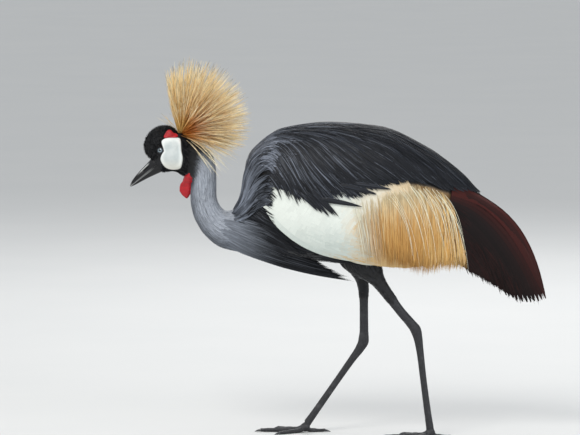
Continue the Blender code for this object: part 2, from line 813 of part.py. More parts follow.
def make_torso():
    torso = torso_solid("torso")
    mesh = torso.data
    for vertex in mesh.vertices:
        if abs(vertex.co.x - TORSO[0][0] * MM) < 1e-6:
            vertex.co.x += GAP / 2
        if abs(vertex.co.x - TORSO[-1][0] * MM) < 1e-6:
            vertex.co.x -= GAP / 2
    fuse(torso, mantle_locks() + breast_plumes())
    finish(torso, "torso", material("mantle_grey", GREY, 0.75))


def slab(name, x_range, turns, side, outer, inner, columns=8, rows=5, shift=0.0):
    """A closed piece of shell between two lifts off the cloak. turns(x) gives its two edges in degrees."""
    sheets = []
    for depth in (outer, inner):
        sheet = []
        for i in range(columns):
            x = x_range[0] + (x_range[1] - x_range[0]) * i / (columns - 1)
            low, high = turns(x)
            for k in range(rows):
                turn = low + (high - low) * k / (rows - 1)
                lift = depth(i / (columns - 1), k / (rows - 1)) if callable(depth) else depth
                point, _ = lifted(cloak_point, x, turn, side, lift)
                point.x = x * MM
                point.y += side * shift * MM
                sheet.append(point)
        sheets.append(sheet)
    count = columns * rows
    points = sheets[0] + sheets[1]
    faces = []
    for i in range(columns - 1):
        for k in range(rows - 1):
            a = i * rows + k
            faces.append((a, a + 1, a + rows + 1, a + rows))
            faces.append((count + a, count + a + rows, count + a + rows + 1, count + a + 1))
    rim = [k for k in range(rows)]
    rim += [i * rows + rows - 1 for i in range(1, columns)]
    rim += [(columns - 1) * rows + k for k in range(rows - 2, -1, -1)]
    rim += [i * rows for i in range(columns - 2, 0, -1)]
    for n, a in enumerate(rim):
        b = rim[(n + 1) % len(rim)]
        faces.append((a, b, count + b, count + a))
    return solid(name, points, faces)


def panel_slab(side, grow=0.0):
    """The white panel's shell, larger by grow millimetres all round."""
    low, high = PANEL_FRONT + GAP / MM - grow, PLUMES_FRONT + grow

    def turns(x):
        top, bottom = panel_turns(x)
        return top - grow * 0.7, bottom + grow * 0.7

    def inner(along, down):
        return panel_inner(along, down) - grow

    return slab("panel", (low, high), turns, side, grow, inner, 10, 8)


def plume_slab(side, grow=0.0):
    """The golden plumes' shell, larger by grow millimetres all round."""
    span = (PLUMES_FRONT + GAP / MM - grow, SECONDARIES_FRONT + grow)
    return slab("plumes", span, lambda x: (wing_top(x) - grow * 0.7, 104 + grow * 0.7), side, grow - 1.2, -12 - grow, 4, 5)


def secondary_slab(side, grow=0.0):
    """The chestnut secondaries' shell, larger by grow millimetres all round."""
    span = (SECONDARIES_FRONT + GAP / MM - grow, WING_REAR + grow)
    return slab("rear", span, lambda x: (wing_top(x) - grow * 0.7, 128 + grow * 0.7), side, grow - 3.0, -13 - grow, 4, 6)


def make_scapulars(side):
    """Dark pointed feathers in three tiers on the back, each tier over the roots of the one below."""
    core = slab(
        "core", (PANEL_FRONT, WING_REAR), lambda x: (0, wing_top(x) + 1.5), side, -0.8, -16.0, 10, 6, GAP / MM
    )
    combine(core, torso_solid("clear", GAP / MM), "DIFFERENCE")
    pieces = []
    # Degrees above the edge at the tips, roots' degrees, count, first and last tip x, tip lift.
    tiers = [(0, 40, 10, -88, 236, 3.4), (27, 25, 6, -76, 206, 4.4), (50, 11, 4, -58, 150, 5.2)]
    for rise, root_turn, count, first, last, tip_lift in tiers:
        for k in range(count):
            x = first + (last - first) * k / (count - 1)
            tip_turn = max(9.0, glide(SCAPULAR_EDGE, x)[0] - rise)
            back = trace(x, tip_turn, -165, 33, side)
            stop = next((i for i, (_, turn) in enumerate(back) if turn <= root_turn), 28)
            stop = max(14, min(stop, 33))
            while back[stop][0] < PANEL_FRONT + 34 and stop > 6:
                stop -= 1
            places = [back[round(stop * (1 - i / 4))] for i in range(5)]
            lifts = rising(5, -5, tip_lift - 1, tip_lift, 0.4)
            over = [turn > wing_top(x) - 12 for x, turn in places]
            lifts = [max(lift, tip_lift - 1) if above else lift for lift, above in zip(lifts, over)]
            pieces.append(cloak_vane("vane", places, side, lifts, 26, root=0.4, tip=0.05, belly=0.45))
    fuse(core, pieces)
    for shell in (panel_slab, plume_slab, secondary_slab):
        combine(core, shell(side, 2 * GAP / MM), "DIFFERENCE")
    combine(core, block("other_side", (-1, min(side * GAP / 2, -side), 0), (1, max(side * GAP / 2, -side), 1)), "DIFFERENCE")
    return finish(core, "scapulars_left", material("scapular_slate", SLATE, 0.6))


def wing_top(x):
    """Degrees round the cloak at which the folded wing goes under the dark scapulars."""
    return glide(SCAPULAR_EDGE, x)[0] - UNDERLAP_DEG


def panel_turns(x):
    z = glide(PANEL_EDGE, x)[0]
    return wing_top(x), turn_at(x, z)


def panel_inner(along, down):
    """The wing shell's inner lift: deep over the body, thin at its front and lower edges."""
    edge = min(1.0, along * 6 + 0.25, (1 - down) * 2.2 + 0.12)
    return -1.5 - 14.5 * edge


def make_panel(side):
    """The white panel of the folded wing."""
    core = panel_slab(side)
    combine(core, torso_solid("clear", GAP / MM), "DIFFERENCE")
    return finish(core, "wing_panel_left", material("wing_white", WHITE, 0.7))


def side_curve(points, share):
    """A point on the smooth curve through side-view points, by share of their number."""
    rows = [(i, *p) for i, p in enumerate(points)]
    return glide(rows, share * (len(points) - 1))


def hang(start, end, bow, steps, side, lifts, widest, thickness=0.8 * MM, roll_deg=0.0, **shape):
    """A feather on the cloak from start to end, both given in the side view, bowed back by bow."""
    (x0, z0), (x1, z1) = start, end
    span = math.hypot(x1 - x0, z1 - z0)
    out_x, out_z = -(z1 - z0) / span * bow, (x1 - x0) / span * bow
    path, normals = [], []
    for i in range(steps + 1):
        t = i / steps
        x = x0 + (x1 - x0) * t + out_x * 4 * t * (1 - t)
        z = z0 + (z1 - z0) * t + out_z * 4 * t * (1 - t)
        point, normal = lifted(cloak_point, x, turn_at(x, z), side, lifts[i])
        path.append(point)
        normals.append(normal)
    widths = [w * MM for w in leaf_widths(widest, steps + 1, **shape)]
    return vane("feather", path, normals, widths, thickness, roll_deg=roll_deg)


def make_plumes(side):
    """Golden plumes that hang over the side behind the white panel, in two tiers."""
    core = plume_slab(side)
    combine(core, torso_solid("clear", GAP / MM), "DIFFERENCE")
    pieces = []
    roots = [(100, 414), (108, 432), (116, 438), (123, 438), (128, 430)]
    long_tips = [(94, 305), (122, 292), (150, 289), (178, 294), (204, 298), (222, 300)]
    short_tips = [(104, 334), (130, 326), (156, 322), (182, 328), (204, 336), (216, 352)]
    for tips, count, tip_lift in ((long_tips, 8, 1.0), (short_tips, 7, 2.4)):
        for k in range(count):
            share = k / (count - 1)
            tip = side_curve(tips, share)
            root = side_curve(roots, share)
            lifts = rising(5, -3.6, tip_lift, tip_lift, 0.25)
            bow = 5 + 14 * share * share
            shape = {"roll_deg": -3 * side, "root": 0.4, "tip": 0.08, "belly": 0.5}
            pieces.append(hang(root, tip, bow, 4, side, lifts, 10.5, **shape))
    fuse(core, pieces)
    combine(core, secondary_slab(side, GAP / MM), "DIFFERENCE")
    return finish(core, "wing_plumes_left", material("plume_gold", GOLD, 0.7))


def make_secondaries(side):
    """Long chestnut feathers that droop over the tail, each under the one above it."""
    core = secondary_slab(side)
    pieces = []
    roots = [(188, 424), (184, 396), (176, 366), (170, 338)]
    tips = [(358, 244), (343, 238), (326, 237), (307, 243), (290, 254), (272, 268), (255, 279), (240, 289), (228, 297)]
    bows = [33, 20, 9, 2]
    count = 9
    for k in range(count):
        share = k / (count - 1)
        root, tip = side_curve(roots, share), side_curve(tips, share)
        bow = side_curve([(b, 0) for b in bows], share)[0]
        depth = -6.2 - 1.15 * k
        lifts = rising(6, -7.5, depth, depth, 0.2)
        shape = {"roll_deg": -6 * side, "root": 0.5, "tip": 0.3, "belly": 0.55}
        pieces.append(hang(root, tip, bow, 5, side, lifts, 34 - 1.2 * k, **shape))
    fuse(core, pieces)
    return finish(core, "wing_secondaries_left", material("chestnut", CHESTNUT, 0.55))


def mirrored(obj, name):
    """The object's mirror image across the bird's middle plane, as a node of its own."""
    mesh = obj.data.copy()
    for vertex in mesh.vertices:
        vertex.co.y = -vertex.co.y
    mesh.flip_normals()
    twin = bpy.data.objects.new(name, mesh)
    bpy.context.scene.collection.objects.link(twin)
    return finish(twin, name, obj.data.materials[0])


def make_wings():
    """The nodes of the left wing, and their mirror images on the right."""
    for make in (make_scapulars, make_panel, make_plumes, make_secondaries):
        wing = make(LEFT)
        mirrored(wing, wing.name.replace("left", "right"))


def make_tail():
    """Black tail feathers, stacked under the wings."""
    start = TORSO[-1][0] + GAP / MM / 2
    stump = [
        oval(Vector((x, 0, z)) * MM, Vector((0.2, 0, 1)).normalized(), h * MM, w * MM, 12)
        for x, z, h, w in ((start, 392, 14, 15), (start + 14, 383, 11, 13), (start + 26, 374, 6, 9))
    ]
    for point in stump[0]:
        point.x = start * MM
    tail = loft("tail", stump)
    pieces = []
    for k in range(4):
        for side in SIDES.values():
            root = Vector((start + 8, side * (5.0 + 0.8 * k), 387 - 2.2 * k))
            tip = Vector((338 - 12 * k, side * (7.4 + 0.5 * k), 262 - 3.0 * k))
            path = []
            for i in range(5):
                t = i / 4
                point = root.lerp(tip, t) + Vector((3, 0, 7)) * 4 * t * (1 - t)
                path.append(point * MM)
            up = Vector((0.62, side * 0.25, 0.78)).normalized()
            widths = [w * MM for w in leaf_widths(13.5, 5, root=0.5, tip=0.35, belly=0.6)]
            pieces.append(vane("quill", path, [up] * 5, widths, 0.8 * MM))
    fuse(tail, pieces)
    finish(tail, "tail", material("tail_black", BLACK, 0.7))


def leg_ring(word, index):
    """Centre, along and across directions and half sizes of one leg station."""
    path, side = LEG_PATHS[word], SIDES[word]
    last = len(path) - 1

    def centre(i):
        x, z = path[i][:2]
        lean = (332 - z) / 332 * 3
        return Vector((x, side * (LEG_Y - lean), z)) * MM

    along = (centre(min(index + 1, last)) - centre(max(index - 1, 0))).normalized()
    fore = along.cross(ACROSS).normalized()
    across = fore.cross(along).normalized()
    return centre(index), along, fore, across, path[index][2] * MM, path[index][3] * MM


def leg_stretch(word, first, last):
    rings = []
    for i in range(first, last + 1):
        centre, _, fore, across, depth, half = leg_ring(word, i)
        rings.append(oval(centre, fore, depth, half, LEG_SIDES, 2.0, across))
    return loft("leg", rings)


def make_leg(word):
    """Feathered thigh, bare shank, tarsus, foot and claws of one leg."""
    side = SIDES[word]
    black = material("leg_black", LEG_BLACK, 0.6)
    planes = {i: leg_ring(word, i)[:2] for i in (FEATHERS_END, HOCK)}
    thigh = between(leg_stretch(word, 0, FEATHERS_END + 1), None, None, *planes[FEATHERS_END])
    combine(thigh, torso_solid("clear", GAP / MM), "DIFFERENCE")
    finish(thigh, f"thigh_{word}", material("thigh_black", BLACK, 0.85))
    shank = between(leg_stretch(word, FEATHERS_END - 1, HOCK + 1), *planes[FEATHERS_END], *planes[HOCK])
    finish(shank, f"shank_{word}", black)
    end = len(LEG_PATHS[word]) - 1
    tarsus = between(leg_stretch(word, HOCK - 1, end), *planes[HOCK], None, None)
    finish(tarsus, f"tarsus_{word}", black)
    make_foot(word, side, black)


def make_foot(word, side, black):
    """Foot with flat soles on the floor, and a claw at the end of each toe."""
    end_centre, down, fore, across, _, _ = leg_ring(word, len(LEG_PATHS[word]) - 1)
    ball = end_centre + down * 6.5 * MM
    ball.z = TOE_BALL_Z * MM
    foot = ellipsoid("foot", ball, (9.4 * MM, 8.6 * MM, 8.8 * MM), 0, 12, 6)
    toes = []
    for name, turn_deg, length, root_radius, tip_radius in TOES:
        turn = math.radians(turn_deg)
        aim = Vector((-math.cos(turn), side * math.sin(turn), 0))
        beside = Vector((0, 0, 1)).cross(aim)
        rings = []
        stations = ((0.0, 1.0), (0.25, 0.86), (0.42, 1.04), (0.62, 0.84), (0.78, 1.02), (1.0, 0.82))
        for share, swell in stations:
            radius = (root_radius + (tip_radius - root_radius) * share) * swell
            height = TOE_BALL_Z * (1 - share) ** 2 * 0.6 + radius * SOLE_SHARE
            centre = ball + aim * length * share * MM
            centre.z = height * MM
            rings.append(oval(centre, Vector((0, 0, 1)), radius * MM, radius * 1.08 * MM, 6, 2.0, beside))
        toes.append(loft("toe", rings))
        make_claw(f"claw_{name}_{word}", ball + aim * (length * MM + GAP), aim, beside, tip_radius)
    fuse(foot, toes)
    cap = [oval(end_centre + down * t, fore, 12 * MM, 12 * MM, 12, 2.0, across) for t in (GAP, -14 * MM)]
    combine(foot, loft("clear", cap), "DIFFERENCE")
    combine(foot, block("floor", (-1, -1, -0.1), (1, 1, 0)), "DIFFERENCE")
    finish(foot, f"foot_{word}", black)


def make_claw(name, root, aim, beside, radius):
    """A curved claw that stays just off the floor."""
    rings = []
    for share, thick in ((0.0, 0.78), (0.35, 0.66), (0.7, 0.42), (1.0, 0.12)):
        half = radius * thick
        centre = root + aim * CLAW_LENGTH * share * MM
        centre.z = (radius * 0.86 + 0.6 - 0.9 * share - 1.6 * share * share) * MM
        centre.z = max(centre.z, (half + 0.25) * MM)
        rings.append(oval(centre, Vector((0, 0, 1)), half * MM, half * 0.8 * MM, 6, 2.0, beside))
    finish(loft(name, rings), name, material("claw_black", HORN, 0.4))


def main():
    clear_scene()
    make_head()
    make_bill()
    make_face()
    make_wattle()
    make_crest()
    make_neck()
    make_torso()
    make_wings()
    make_tail()
    for word in SIDES:
        make_leg(word)


main()
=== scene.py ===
import math

import bmesh
import bpy
import numpy as np
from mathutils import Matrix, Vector
from mathutils.bvhtree import BVHTree


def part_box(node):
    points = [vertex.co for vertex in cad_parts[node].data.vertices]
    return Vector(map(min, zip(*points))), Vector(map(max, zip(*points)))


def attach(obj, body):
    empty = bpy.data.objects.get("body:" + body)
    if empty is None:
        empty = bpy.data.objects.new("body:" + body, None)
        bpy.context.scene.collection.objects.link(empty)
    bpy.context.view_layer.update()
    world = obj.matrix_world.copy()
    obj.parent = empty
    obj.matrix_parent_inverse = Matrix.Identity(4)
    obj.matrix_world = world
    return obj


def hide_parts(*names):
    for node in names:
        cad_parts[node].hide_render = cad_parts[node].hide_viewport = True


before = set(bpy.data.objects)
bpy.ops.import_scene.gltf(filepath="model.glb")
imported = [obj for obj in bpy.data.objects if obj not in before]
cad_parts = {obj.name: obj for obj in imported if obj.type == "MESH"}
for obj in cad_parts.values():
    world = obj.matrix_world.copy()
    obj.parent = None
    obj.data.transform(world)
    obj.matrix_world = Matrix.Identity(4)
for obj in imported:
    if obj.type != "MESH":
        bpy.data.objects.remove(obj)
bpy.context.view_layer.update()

# Grey crowned crane: skin, feathers, face, crest and legs over the solids of the frame.
# The bird faces -X, its left side is -Y and the floor is z = 0. Sizes are in millimetres until MM is applied.

MM = 0.001
RIGHT = 1
SIDES = {"left": -RIGHT, "right": RIGHT}


# Head and neck, from the bill's root to the breast: crown x, crown z, throat x, throat z, half width.
HEAD_AND_NECK = [
    (-328.8, 486.5, -311.3, 463.8, 9.0),
    (-323.6, 513.5, -289.5, 464.6, 18.5),
    (-307.8, 534.0, -276.3, 458.5, 22.0),
    (-276.3, 534.5, -267.6, 453.3, 23.5),
    (-244.8, 516.3, -265.0, 448.0, 23.0),
    (-217.7, 484.8, -262.3, 446.3, 22.0),
    (-214.5, 453.3, -260.0, 441.8, 20.5),
    (-214.5, 424.4, -259.5, 414.8, 20.0),
    (-208.0, 404.5, -255.3, 391.0, 22.0),
    (-195.8, 394.8, -237.0, 357.0, 25.5),
    (-185.3, 396.9, -206.3, 332.5, 29.0),
    (-172.0, 402.0, -172.0, 324.0, 31.0),
]
NECK_ROWS = [(i, *row) for i, row in enumerate(HEAD_AND_NECK)]
# Power of the rounded sections of skin, head and torso.
SKIN_POWER = 2.2

# Torso: x, top z, bottom z, half width.
TORSO = [
    (-172, 402, 324, 31),
    (-169, 440, 321, 37),
    (-162, 472, 319, 45),
    (-146, 499, 317, 54),
    (-122, 517, 315, 64),
    (-80, 530, 313, 74),
    (-20, 536, 308, 80),
    (40, 532, 302, 79),
    (90, 514, 303, 71),
    (135, 486, 316, 58),
    (175, 454, 340, 42),
    (210, 420, 364, 25),
    (222, 408, 376, 17),
]

# Cloak, the surface that the folded wings and the back make: x, ridge z, widest z, keel z, half width.
CLOAK = [
    (-170, 455, 425, 385, 24),
    (-152, 501, 431, 330, 52),
    (-98, 538, 436, 314, 79),
    (-20, 548, 437, 300, 92),
    (70, 541, 432, 290, 90),
    (150, 506, 410, 280, 73),
    (215, 458, 366, 270, 53),
    (240, 431, 346, 262, 46),
    (298, 386, 296, 236, 31.5),
    (349, 322, 256, 226, 16),
    (364, 265, 246, 226, 8),
]
# How square the cloak's section is below its widest place: 1 is round.
LOWER_SQUARENESS = 0.45

# Lie of the dark feathers on the cloak's sides: x, degrees down from straight back.
LIE = [
    (-170, -45), (-150, -15), (-130, 28), (-110, 56), (-80, 60), (-40, 50), (20, 38), (80, 27), (150, 20),
    (240, 14),
]
# Degrees from the ridge between which that lie sets in.
LIE_STARTS_AT = 4
LIE_FULL_AT = 55
# Lie of the white feathers: x, degrees down from straight back.
WHITE_LIE = [(-150, 46), (-100, 38), (-40, 31), (40, 34), (80, 48), (120, 62)]

# Lower edge of the dark scapulars in the side view, x and z, and the x at which they end.
SCAPULAR_EDGE = [
    (-134, 442), (-114, 437), (-91, 427), (-70, 418), (-50, 414), (-34, 416), (7, 419), (27, 420),
    (48, 427), (60, 436), (89, 443), (130, 448), (161, 442), (192, 432), (218, 430), (252, 420),
]
DARK_END = 246
# Lower edge of the white wing in the side view.
PANEL_EDGE = [
    (-128, 402), (-107, 375), (-82, 353), (-57, 337), (-21, 322.5), (16, 314.5), (65, 307), (106, 303),
]

# Lower edge of the bed under the wing's feathers, and the bed's thickness.
BED_FLOOR = [
    (-158, 436), (-134, 418), (-107, 388), (-82, 366), (-57, 350), (-21, 335), (16, 325), (65, 317),
    (120, 313), (160, 316), (190, 326), (212, 352),
]
BED_THICK = 2.6

# Long loose feathers at the scapulars' lower edge: the tip's x and z, the length and the fall in degrees.
LONG_TIPS = [
    (-19.5, 394.5, 70, 43), (-4.0, 396.0, 80, 40), (-11.0, 399.5, 74, 41), (-27.0, 400.5, 60, 44),
    (-35.0, 404.0, 54, 42), (41.5, 411.5, 86, 8), (29.0, 413.5, 80, 8), (15.0, 415.5, 70, 9),
    (68.5, 432.0, 80, 12), (57.0, 434.0, 70, 12), (92.0, 440.5, 80, 8),
]
# Pointed locks over the white wing: root and tip in the side view.
LOCKS = np.array([((-128, 474), (-99, 421)), ((-116, 474), (-86, 421)), ((-104, 468), (-70, 411))])

# The mantle's rows: their x, the turns they run between, spacing, width and the feathers' lengths.
MANTLE_ROWS = (
    (np.arange(-166, -108, 4.4), 3, 62, 4.8, 52, 30),
    (np.arange(-108, -40, 7.5), 2, 50, 6.0, 60, 26),
)

# Side-view curves, x and z: roots and tips of the golden plumes, then of the chestnut secondaries.
PLUME_ROOTS = [(72, 440), (98, 446), (126, 450), (152, 445), (176, 436), (186, 428)]
PLUME_TIPS = [(84, 305), (104, 303), (126, 293), (150, 289), (176, 296), (202, 298), (223, 297)]
PLUME_BOWS = [(1, 0), (3, 0), (5, 0), (6, 0), (4, 0)]
SECONDARY_ROOTS = [(196, 436), (190, 410), (180, 378), (172, 346)]
SECONDARY_TIPS = [
    (362, 243), (346, 239), (329, 238), (309, 243), (291, 254), (272, 268), (255, 279), (240, 289),
    (228, 297),
]
SECONDARY_BOWS = [(36, 0), (22, 0), (10, 0), (3, 0)]

# Side-view curves that the hair-like plumes follow, from their roots to their tips.
SHOULDER_GUIDES = [
    [(-179, 402), (-171, 430), (-166.5, 458), (-156, 484), (-134, 507), (-102, 524), (-68, 535)],
    [(-186, 396), (-171, 425), (-165, 462), (-152, 497), (-126, 521), (-88, 536), (-50, 542)],
    [(-188, 392), (-166, 420), (-156, 452), (-140, 482), (-112, 503), (-76, 512), (-40, 508)],
    [(-190, 388), (-165, 410), (-152, 434), (-137, 454), (-116, 466), (-92, 464), (-68, 452)],
    [(-192, 380), (-170, 392), (-158, 405), (-147, 419), (-137, 431), (-125, 438), (-112, 440)],
    [(-194, 372), (-173, 380), (-159, 388), (-148, 397), (-138, 402), (-127, 403), (-115, 399)],
]
BREAST_GUIDES = [
    [(-208, 389), (-180, 387), (-154, 383), (-132, 377), (-113, 366), (-97, 353), (-82, 343)],
    [(-214, 382), (-180, 376), (-150, 369), (-122, 361), (-100, 348), (-78, 335), (-58, 323)],
    [(-218, 374), (-182, 361), (-146, 347), (-112, 334), (-82, 322), (-54, 311), (-30, 302)],
    [(-222, 364), (-186, 347), (-148, 330), (-110, 315), (-74, 303), (-38, 294), (-6, 288)],
    [(-224, 356), (-190, 335), (-150, 317), (-110, 302), (-68, 291), (-24, 282), (26, 274)],
]
FRONT_GUIDES = [
    [(-152, 480), (-140, 462), (-127, 447), (-115, 437), (-106, 428)],
    [(-160, 462), (-147, 446), (-134, 435), (-122, 427), (-111, 419)],
    [(-166, 440), (-151, 427), (-138, 417), (-126, 410), (-113, 403)],
    [(-166, 420), (-151, 408), (-138, 398), (-126, 391), (-112, 384)],
    [(-166, 406), (-150, 393), (-134, 382), (-118, 372), (-101, 362)],
    [(-170, 396), (-150, 382), (-130, 368), (-108, 354), (-82, 343)],
]
FLANK_GUIDES = [
    [(-178, 402), (-152, 392), (-128, 380), (-106, 364), (-78, 348), (-46, 335), (-10, 322)],
    [(-196, 388), (-165, 377), (-130, 360), (-98, 344), (-62, 330), (-22, 319), (20, 311)],
    [(-205, 378), (-165, 363), (-124, 347), (-84, 333), (-42, 322), (0, 314), (40, 308)],
    [(-210, 368), (-165, 350), (-118, 335), (-74, 323), (-30, 315), (10, 309), (50, 305)],
]

# The bill: its tip, its root on crown and throat, its length and half of the gap of its mouth line.
BILL_TIP = (-364.7, 0, 438.9)
BILL_CROWN = (-328.8, 0, 486.5)
BILL_THROAT = (-311.3, 0, 463.8)
BILL_LENGTH = 58
BILL_GAP = 0.34

# The bill along its length: share, height above and below the mouth's line, half width.
BILL = [
    (0.0, 14.2, 14.2, 9.0), (0.18, 12.4, 11.4, 7.8), (0.4, 10.8, 8.2, 6.3), (0.62, 8.8, 5.6, 4.9),
    (0.82, 5.9, 3.4, 3.4), (0.94, 3.0, 1.8, 2.0), (0.985, 1.3, 0.9, 1.1), (1.0, 0.5, 0.4, 0.5),
]

# Outline of the cheek in the side view, then of the red skin above it.
CHEEK = [
    (-309.9, 519.8), (-300.6, 525.2), (-284.9, 525.2), (-277.2, 524.5), (-275.6, 513.5), (-274.8, 501.0),
    (-272.5, 491.8), (-274.1, 479.2), (-277.2, 471.3), (-288.1, 469.0), (-300.6, 471.3), (-308.3, 479.2),
    (-311.8, 488.5), (-308.3, 498.0), (-305.2, 502.6), (-307.6, 510.3),
]
RED = [
    (-305.8, 525.6), (-303.2, 533.0), (-299.0, 538.2), (-294.0, 538.0), (-290.0, 533.6), (-284.0, 531.4),
    (-281.0, 527.6), (-288.0, 524.8), (-297.0, 525.0),
]

# Wattle: height, front, back and half width of its sections.
WATTLE = [
    (417.6, -267.4, -265.2, 0.5),
    (420, -270.6, -263.2, 3.0),
    (425.3, -275.8, -260.0, 5.2),
    (432.3, -279.0, -256.0, 7.0),
    (441, -278.0, -254.0, 8.4),
    (448.5, -273.4, -252.5, 13.0),
    (455, -271.5, -251.5, 16.8),
    (461, -268.0, -251.5, 18.8),
    (465, -265.0, -251.5, 18.6),
    (468.5, -262.0, -253.5, 15.0),
]

# The lids' inner and outer edge: degrees from the middle of the eye.
LID_INNER = 38
LID_OUTER = 84
# The velvet dome on the forehead: middle, half sizes and tilt.
VELVET_CENTRE = (-309.6, 0, 514.5)
VELVET_SIZE = (35.5, 17.5, 30.5)
VELVET_TILT = 45

# The crest: root, the root's radius, reach by degrees up from straight back, and spread to the sides.
CREST_ROOT = np.array((-277.0, 0, 531.0))
CREST_DOME = 9
CREST_REACH = [(-45, 96), (-20, 112), (10, 128), (35, 138), (60, 145), (84, 141), (96, 127), (110, 108)]
CREST_SPREAD = 95

# Thickness of its bristles.
CREST_THICK = 0.78

# The first bristles over the brow: degrees up from straight back, and to the side.
CREST_FRONT = ((118, 124, 131, 137, 142, 128), (-14, 8, -6, 10, 3, -20))

# The legs stand this far to each side.
LEG_Y = 35

# Leg stations: x, z, half depth fore and aft, half width.
LEG_PATHS = {
    "left": [
        (42, 332, 38, 23),
        (48, 307, 34, 21),
        (60, 288, 20, 15.5),
        (71, 272, 12, 11),
        (87, 250, 9.4, 8.2),
        (108, 222, 8.2, 6.6),
        (126, 201, 8.6, 7.0),
        (134, 190, 9.6, 8.4),
        (138, 176, 8.2, 6.8),
        (142, 150, 6.6, 5.4),
        (148, 100, 6.0, 5.0),
        (156, 40, 6.4, 5.6),
        (159.5, 16.5, 7.0, 6.4),
    ],
    "right": [
        (26, 332, 36, 23),
        (30, 307, 31, 21),
        (36, 288, 18, 15.5),
        (41, 272, 11.5, 11),
        (44, 248, 8.8, 8.2),
        (44.5, 222, 7.8, 6.6),
        (44.8, 182, 8.0, 6.8),
        (44.0, 163, 9.6, 8.4),
        (37.5, 149, 8.2, 6.8),
        (24, 130, 6.6, 5.4),
        (-6, 87, 6.0, 5.0),
        (-42, 35, 6.4, 5.6),
        (-55, 16.5, 7.0, 6.4),
    ],
}
# Stations at which a leg and its feathers end.
LEG_END = 12
FEATHERS_END = 4
# The ball of the foot: its height, and how far it is beyond the leg's end.
TOE_BALL_Z = 9.5
BALL_AHEAD = 6.5
# Height of a toe's middle line over the floor, as a share of its radius.
SOLE_SHARE = 0.79

# Toes: name, degrees from straight ahead (outward is positive), length, root radius, tip radius.
TOES = [
    ("middle", 4, 78, 6.0, 3.4),
    ("inner", -34, 54, 5.4, 3.2),
    ("outer", 38, 60, 5.4, 3.2),
    ("hind", 172, 34, 4.6, 3.0),
]
# How far a toe reaches over its claw.
TOE_CUFF = 3.6
# Size of the skin's faces.
SKIN_VOXEL = 1.7
# Width of a feather's patch on the OFBake map.
PATCH = 0.003
# Finish of the hair-like feathers.
HAIR = {"roughness": 0.5, "barb_depth": 0.12, "specular": 0.25}

# The camera looks at this place in metres, from this far and from so many degrees above.
CAMERA_TARGET = Vector((-0.0856, 0, 0.384))
CAMERA_DISTANCE = 8.46
CAMERA_TILT = 5.5
# Half size of the floor in metres.
FLOOR_REACH = 30

# Lights: name, place, size, strength and colour.
LIGHTS = (
    ("key", (-1.3, -2.6, 3.2), 1.8, 95, (1.0, 0.98, 0.95)),
    ("fill", (2.4, -1.8, 1.2), 2.2, 22, (0.92, 0.96, 1.0)),
    ("rim", (0.6, 2.6, 2.4), 1.6, 45, (1.0, 1.0, 1.0)),
)

# Sections of a feather, as closed loops of (across, rise): thin, broad with a shaft, and a wide web.
SLIM = np.array([(-1, 0), (0, 1), (1, 0)])
BROAD = np.array([(-1, 0), (-0.55, 0.6), (0, 1.0), (0.55, 0.6), (1, 0)])
WEB = np.array([(a, 0.9 - 0.9 * a * a) for a in np.linspace(-1, 1, 7)])


def srgb(red, green, blue):
    """A colour given in the 0 to 255 steps of a screen, as linear light."""
    share = np.array((red, green, blue)) / 255
    return np.where(share <= 0.04045, share / 12.92, ((share + 0.055) / 1.055) ** 2.4)


BLACK = srgb(9, 9, 11)
SOOT = srgb(19, 20, 23)
SLATE = srgb(22, 25, 33)
SLATE_LIGHT = srgb(84, 91, 104)
ASH = srgb(122, 129, 142)
NECK_PALE = srgb(152, 158, 168)
NECK_DARK = srgb(84, 90, 100)
WHITE = srgb(224, 229, 222)
# Grey-green white of the wing's lower side: painted shade.
WHITE_IN_PAINTED_SHADE = srgb(190, 200, 194)
IVORY = srgb(222, 212, 176)
GOLD = srgb(198, 150, 82)
GOLD_DEEP = srgb(164, 110, 48)
GOLD_PALE = srgb(218, 188, 130)
CHESTNUT = srgb(20, 8, 8)
CHESTNUT_RED = srgb(78, 24, 18)
STRAW = srgb(244, 200, 116)
STRAW_DEEP = srgb(206, 116, 34)
STRAW_PALE = srgb(255, 244, 208)
LEG = srgb(36, 37, 41)
SCARLET = srgb(172, 6, 24)
CHEEK_WHITE = srgb(200, 206, 205)
# The cheek's rim is lighter than its middle: a painted highlight on its rolled rim.
CHEEK_RIM_HIGHLIGHT = srgb(226, 230, 228)
BILL_DARK = srgb(11, 11, 14)
# BILL_PALE is the pale horn at the bill's edges and tip, and also the colour of the painted highlight on its
# culmen.
BILL_PALE = srgb(176, 178, 176)


def glide(table, x):
    """The table's columns at x, on smooth curves through its rows that never overshoot them."""
    rows = np.asarray(table, float)
    xs, ys = rows[:, 0], rows[:, 1:]
    x = np.clip(np.asarray(x, float), xs[0], xs[-1])
    span = np.diff(xs)
    rise = np.diff(ys, axis=0) / span[:, None]
    together = rise[:-1] * rise[1:] > 0
    total = np.where(together, rise[:-1] + rise[1:], 1)
    slope = np.vstack([rise[:1], np.where(together, 2 * rise[:-1] * rise[1:] / total, 0), rise[-1:]])
    k = np.clip(np.searchsorted(xs, x, side="right") - 1, 0, len(xs) - 2)
    t = ((x - xs[k]) / span[k])[..., None]
    stretch = span[k][..., None]
    start = ys[k] * (2 * t**3 - 3 * t**2 + 1) + slope[k] * stretch * (t**3 - 2 * t**2 + t)
    return start + ys[k + 1] * (3 * t**2 - 2 * t**3) + slope[k + 1] * stretch * (t**3 - t**2)


def curve_at(points, share):
    """x and z on the smooth curve through side-view points, by share of their number."""
    rows = [(i, *p) for i, p in enumerate(points)]
    return glide(rows, np.asarray(share) * (len(points) - 1))


def unit(vectors):
    return vectors / np.maximum(np.linalg.norm(vectors, axis=-1, keepdims=True), 1e-12)


def smooth(value, low, high):
    """0 below low, 1 above high and an even curve between."""
    t = np.clip((np.asarray(value, float) - low) / (high - low), 0, 1)
    return t * t * (3 - 2 * t)


def blend(a, b, share):
    share = np.asarray(share)[..., None]
    return np.asarray(a) * (1 - share) + np.asarray(b) * share


def even_turn(count):
    """Angles evenly round a full turn."""
    return np.linspace(0, 2 * math.pi, count, endpoint=False)


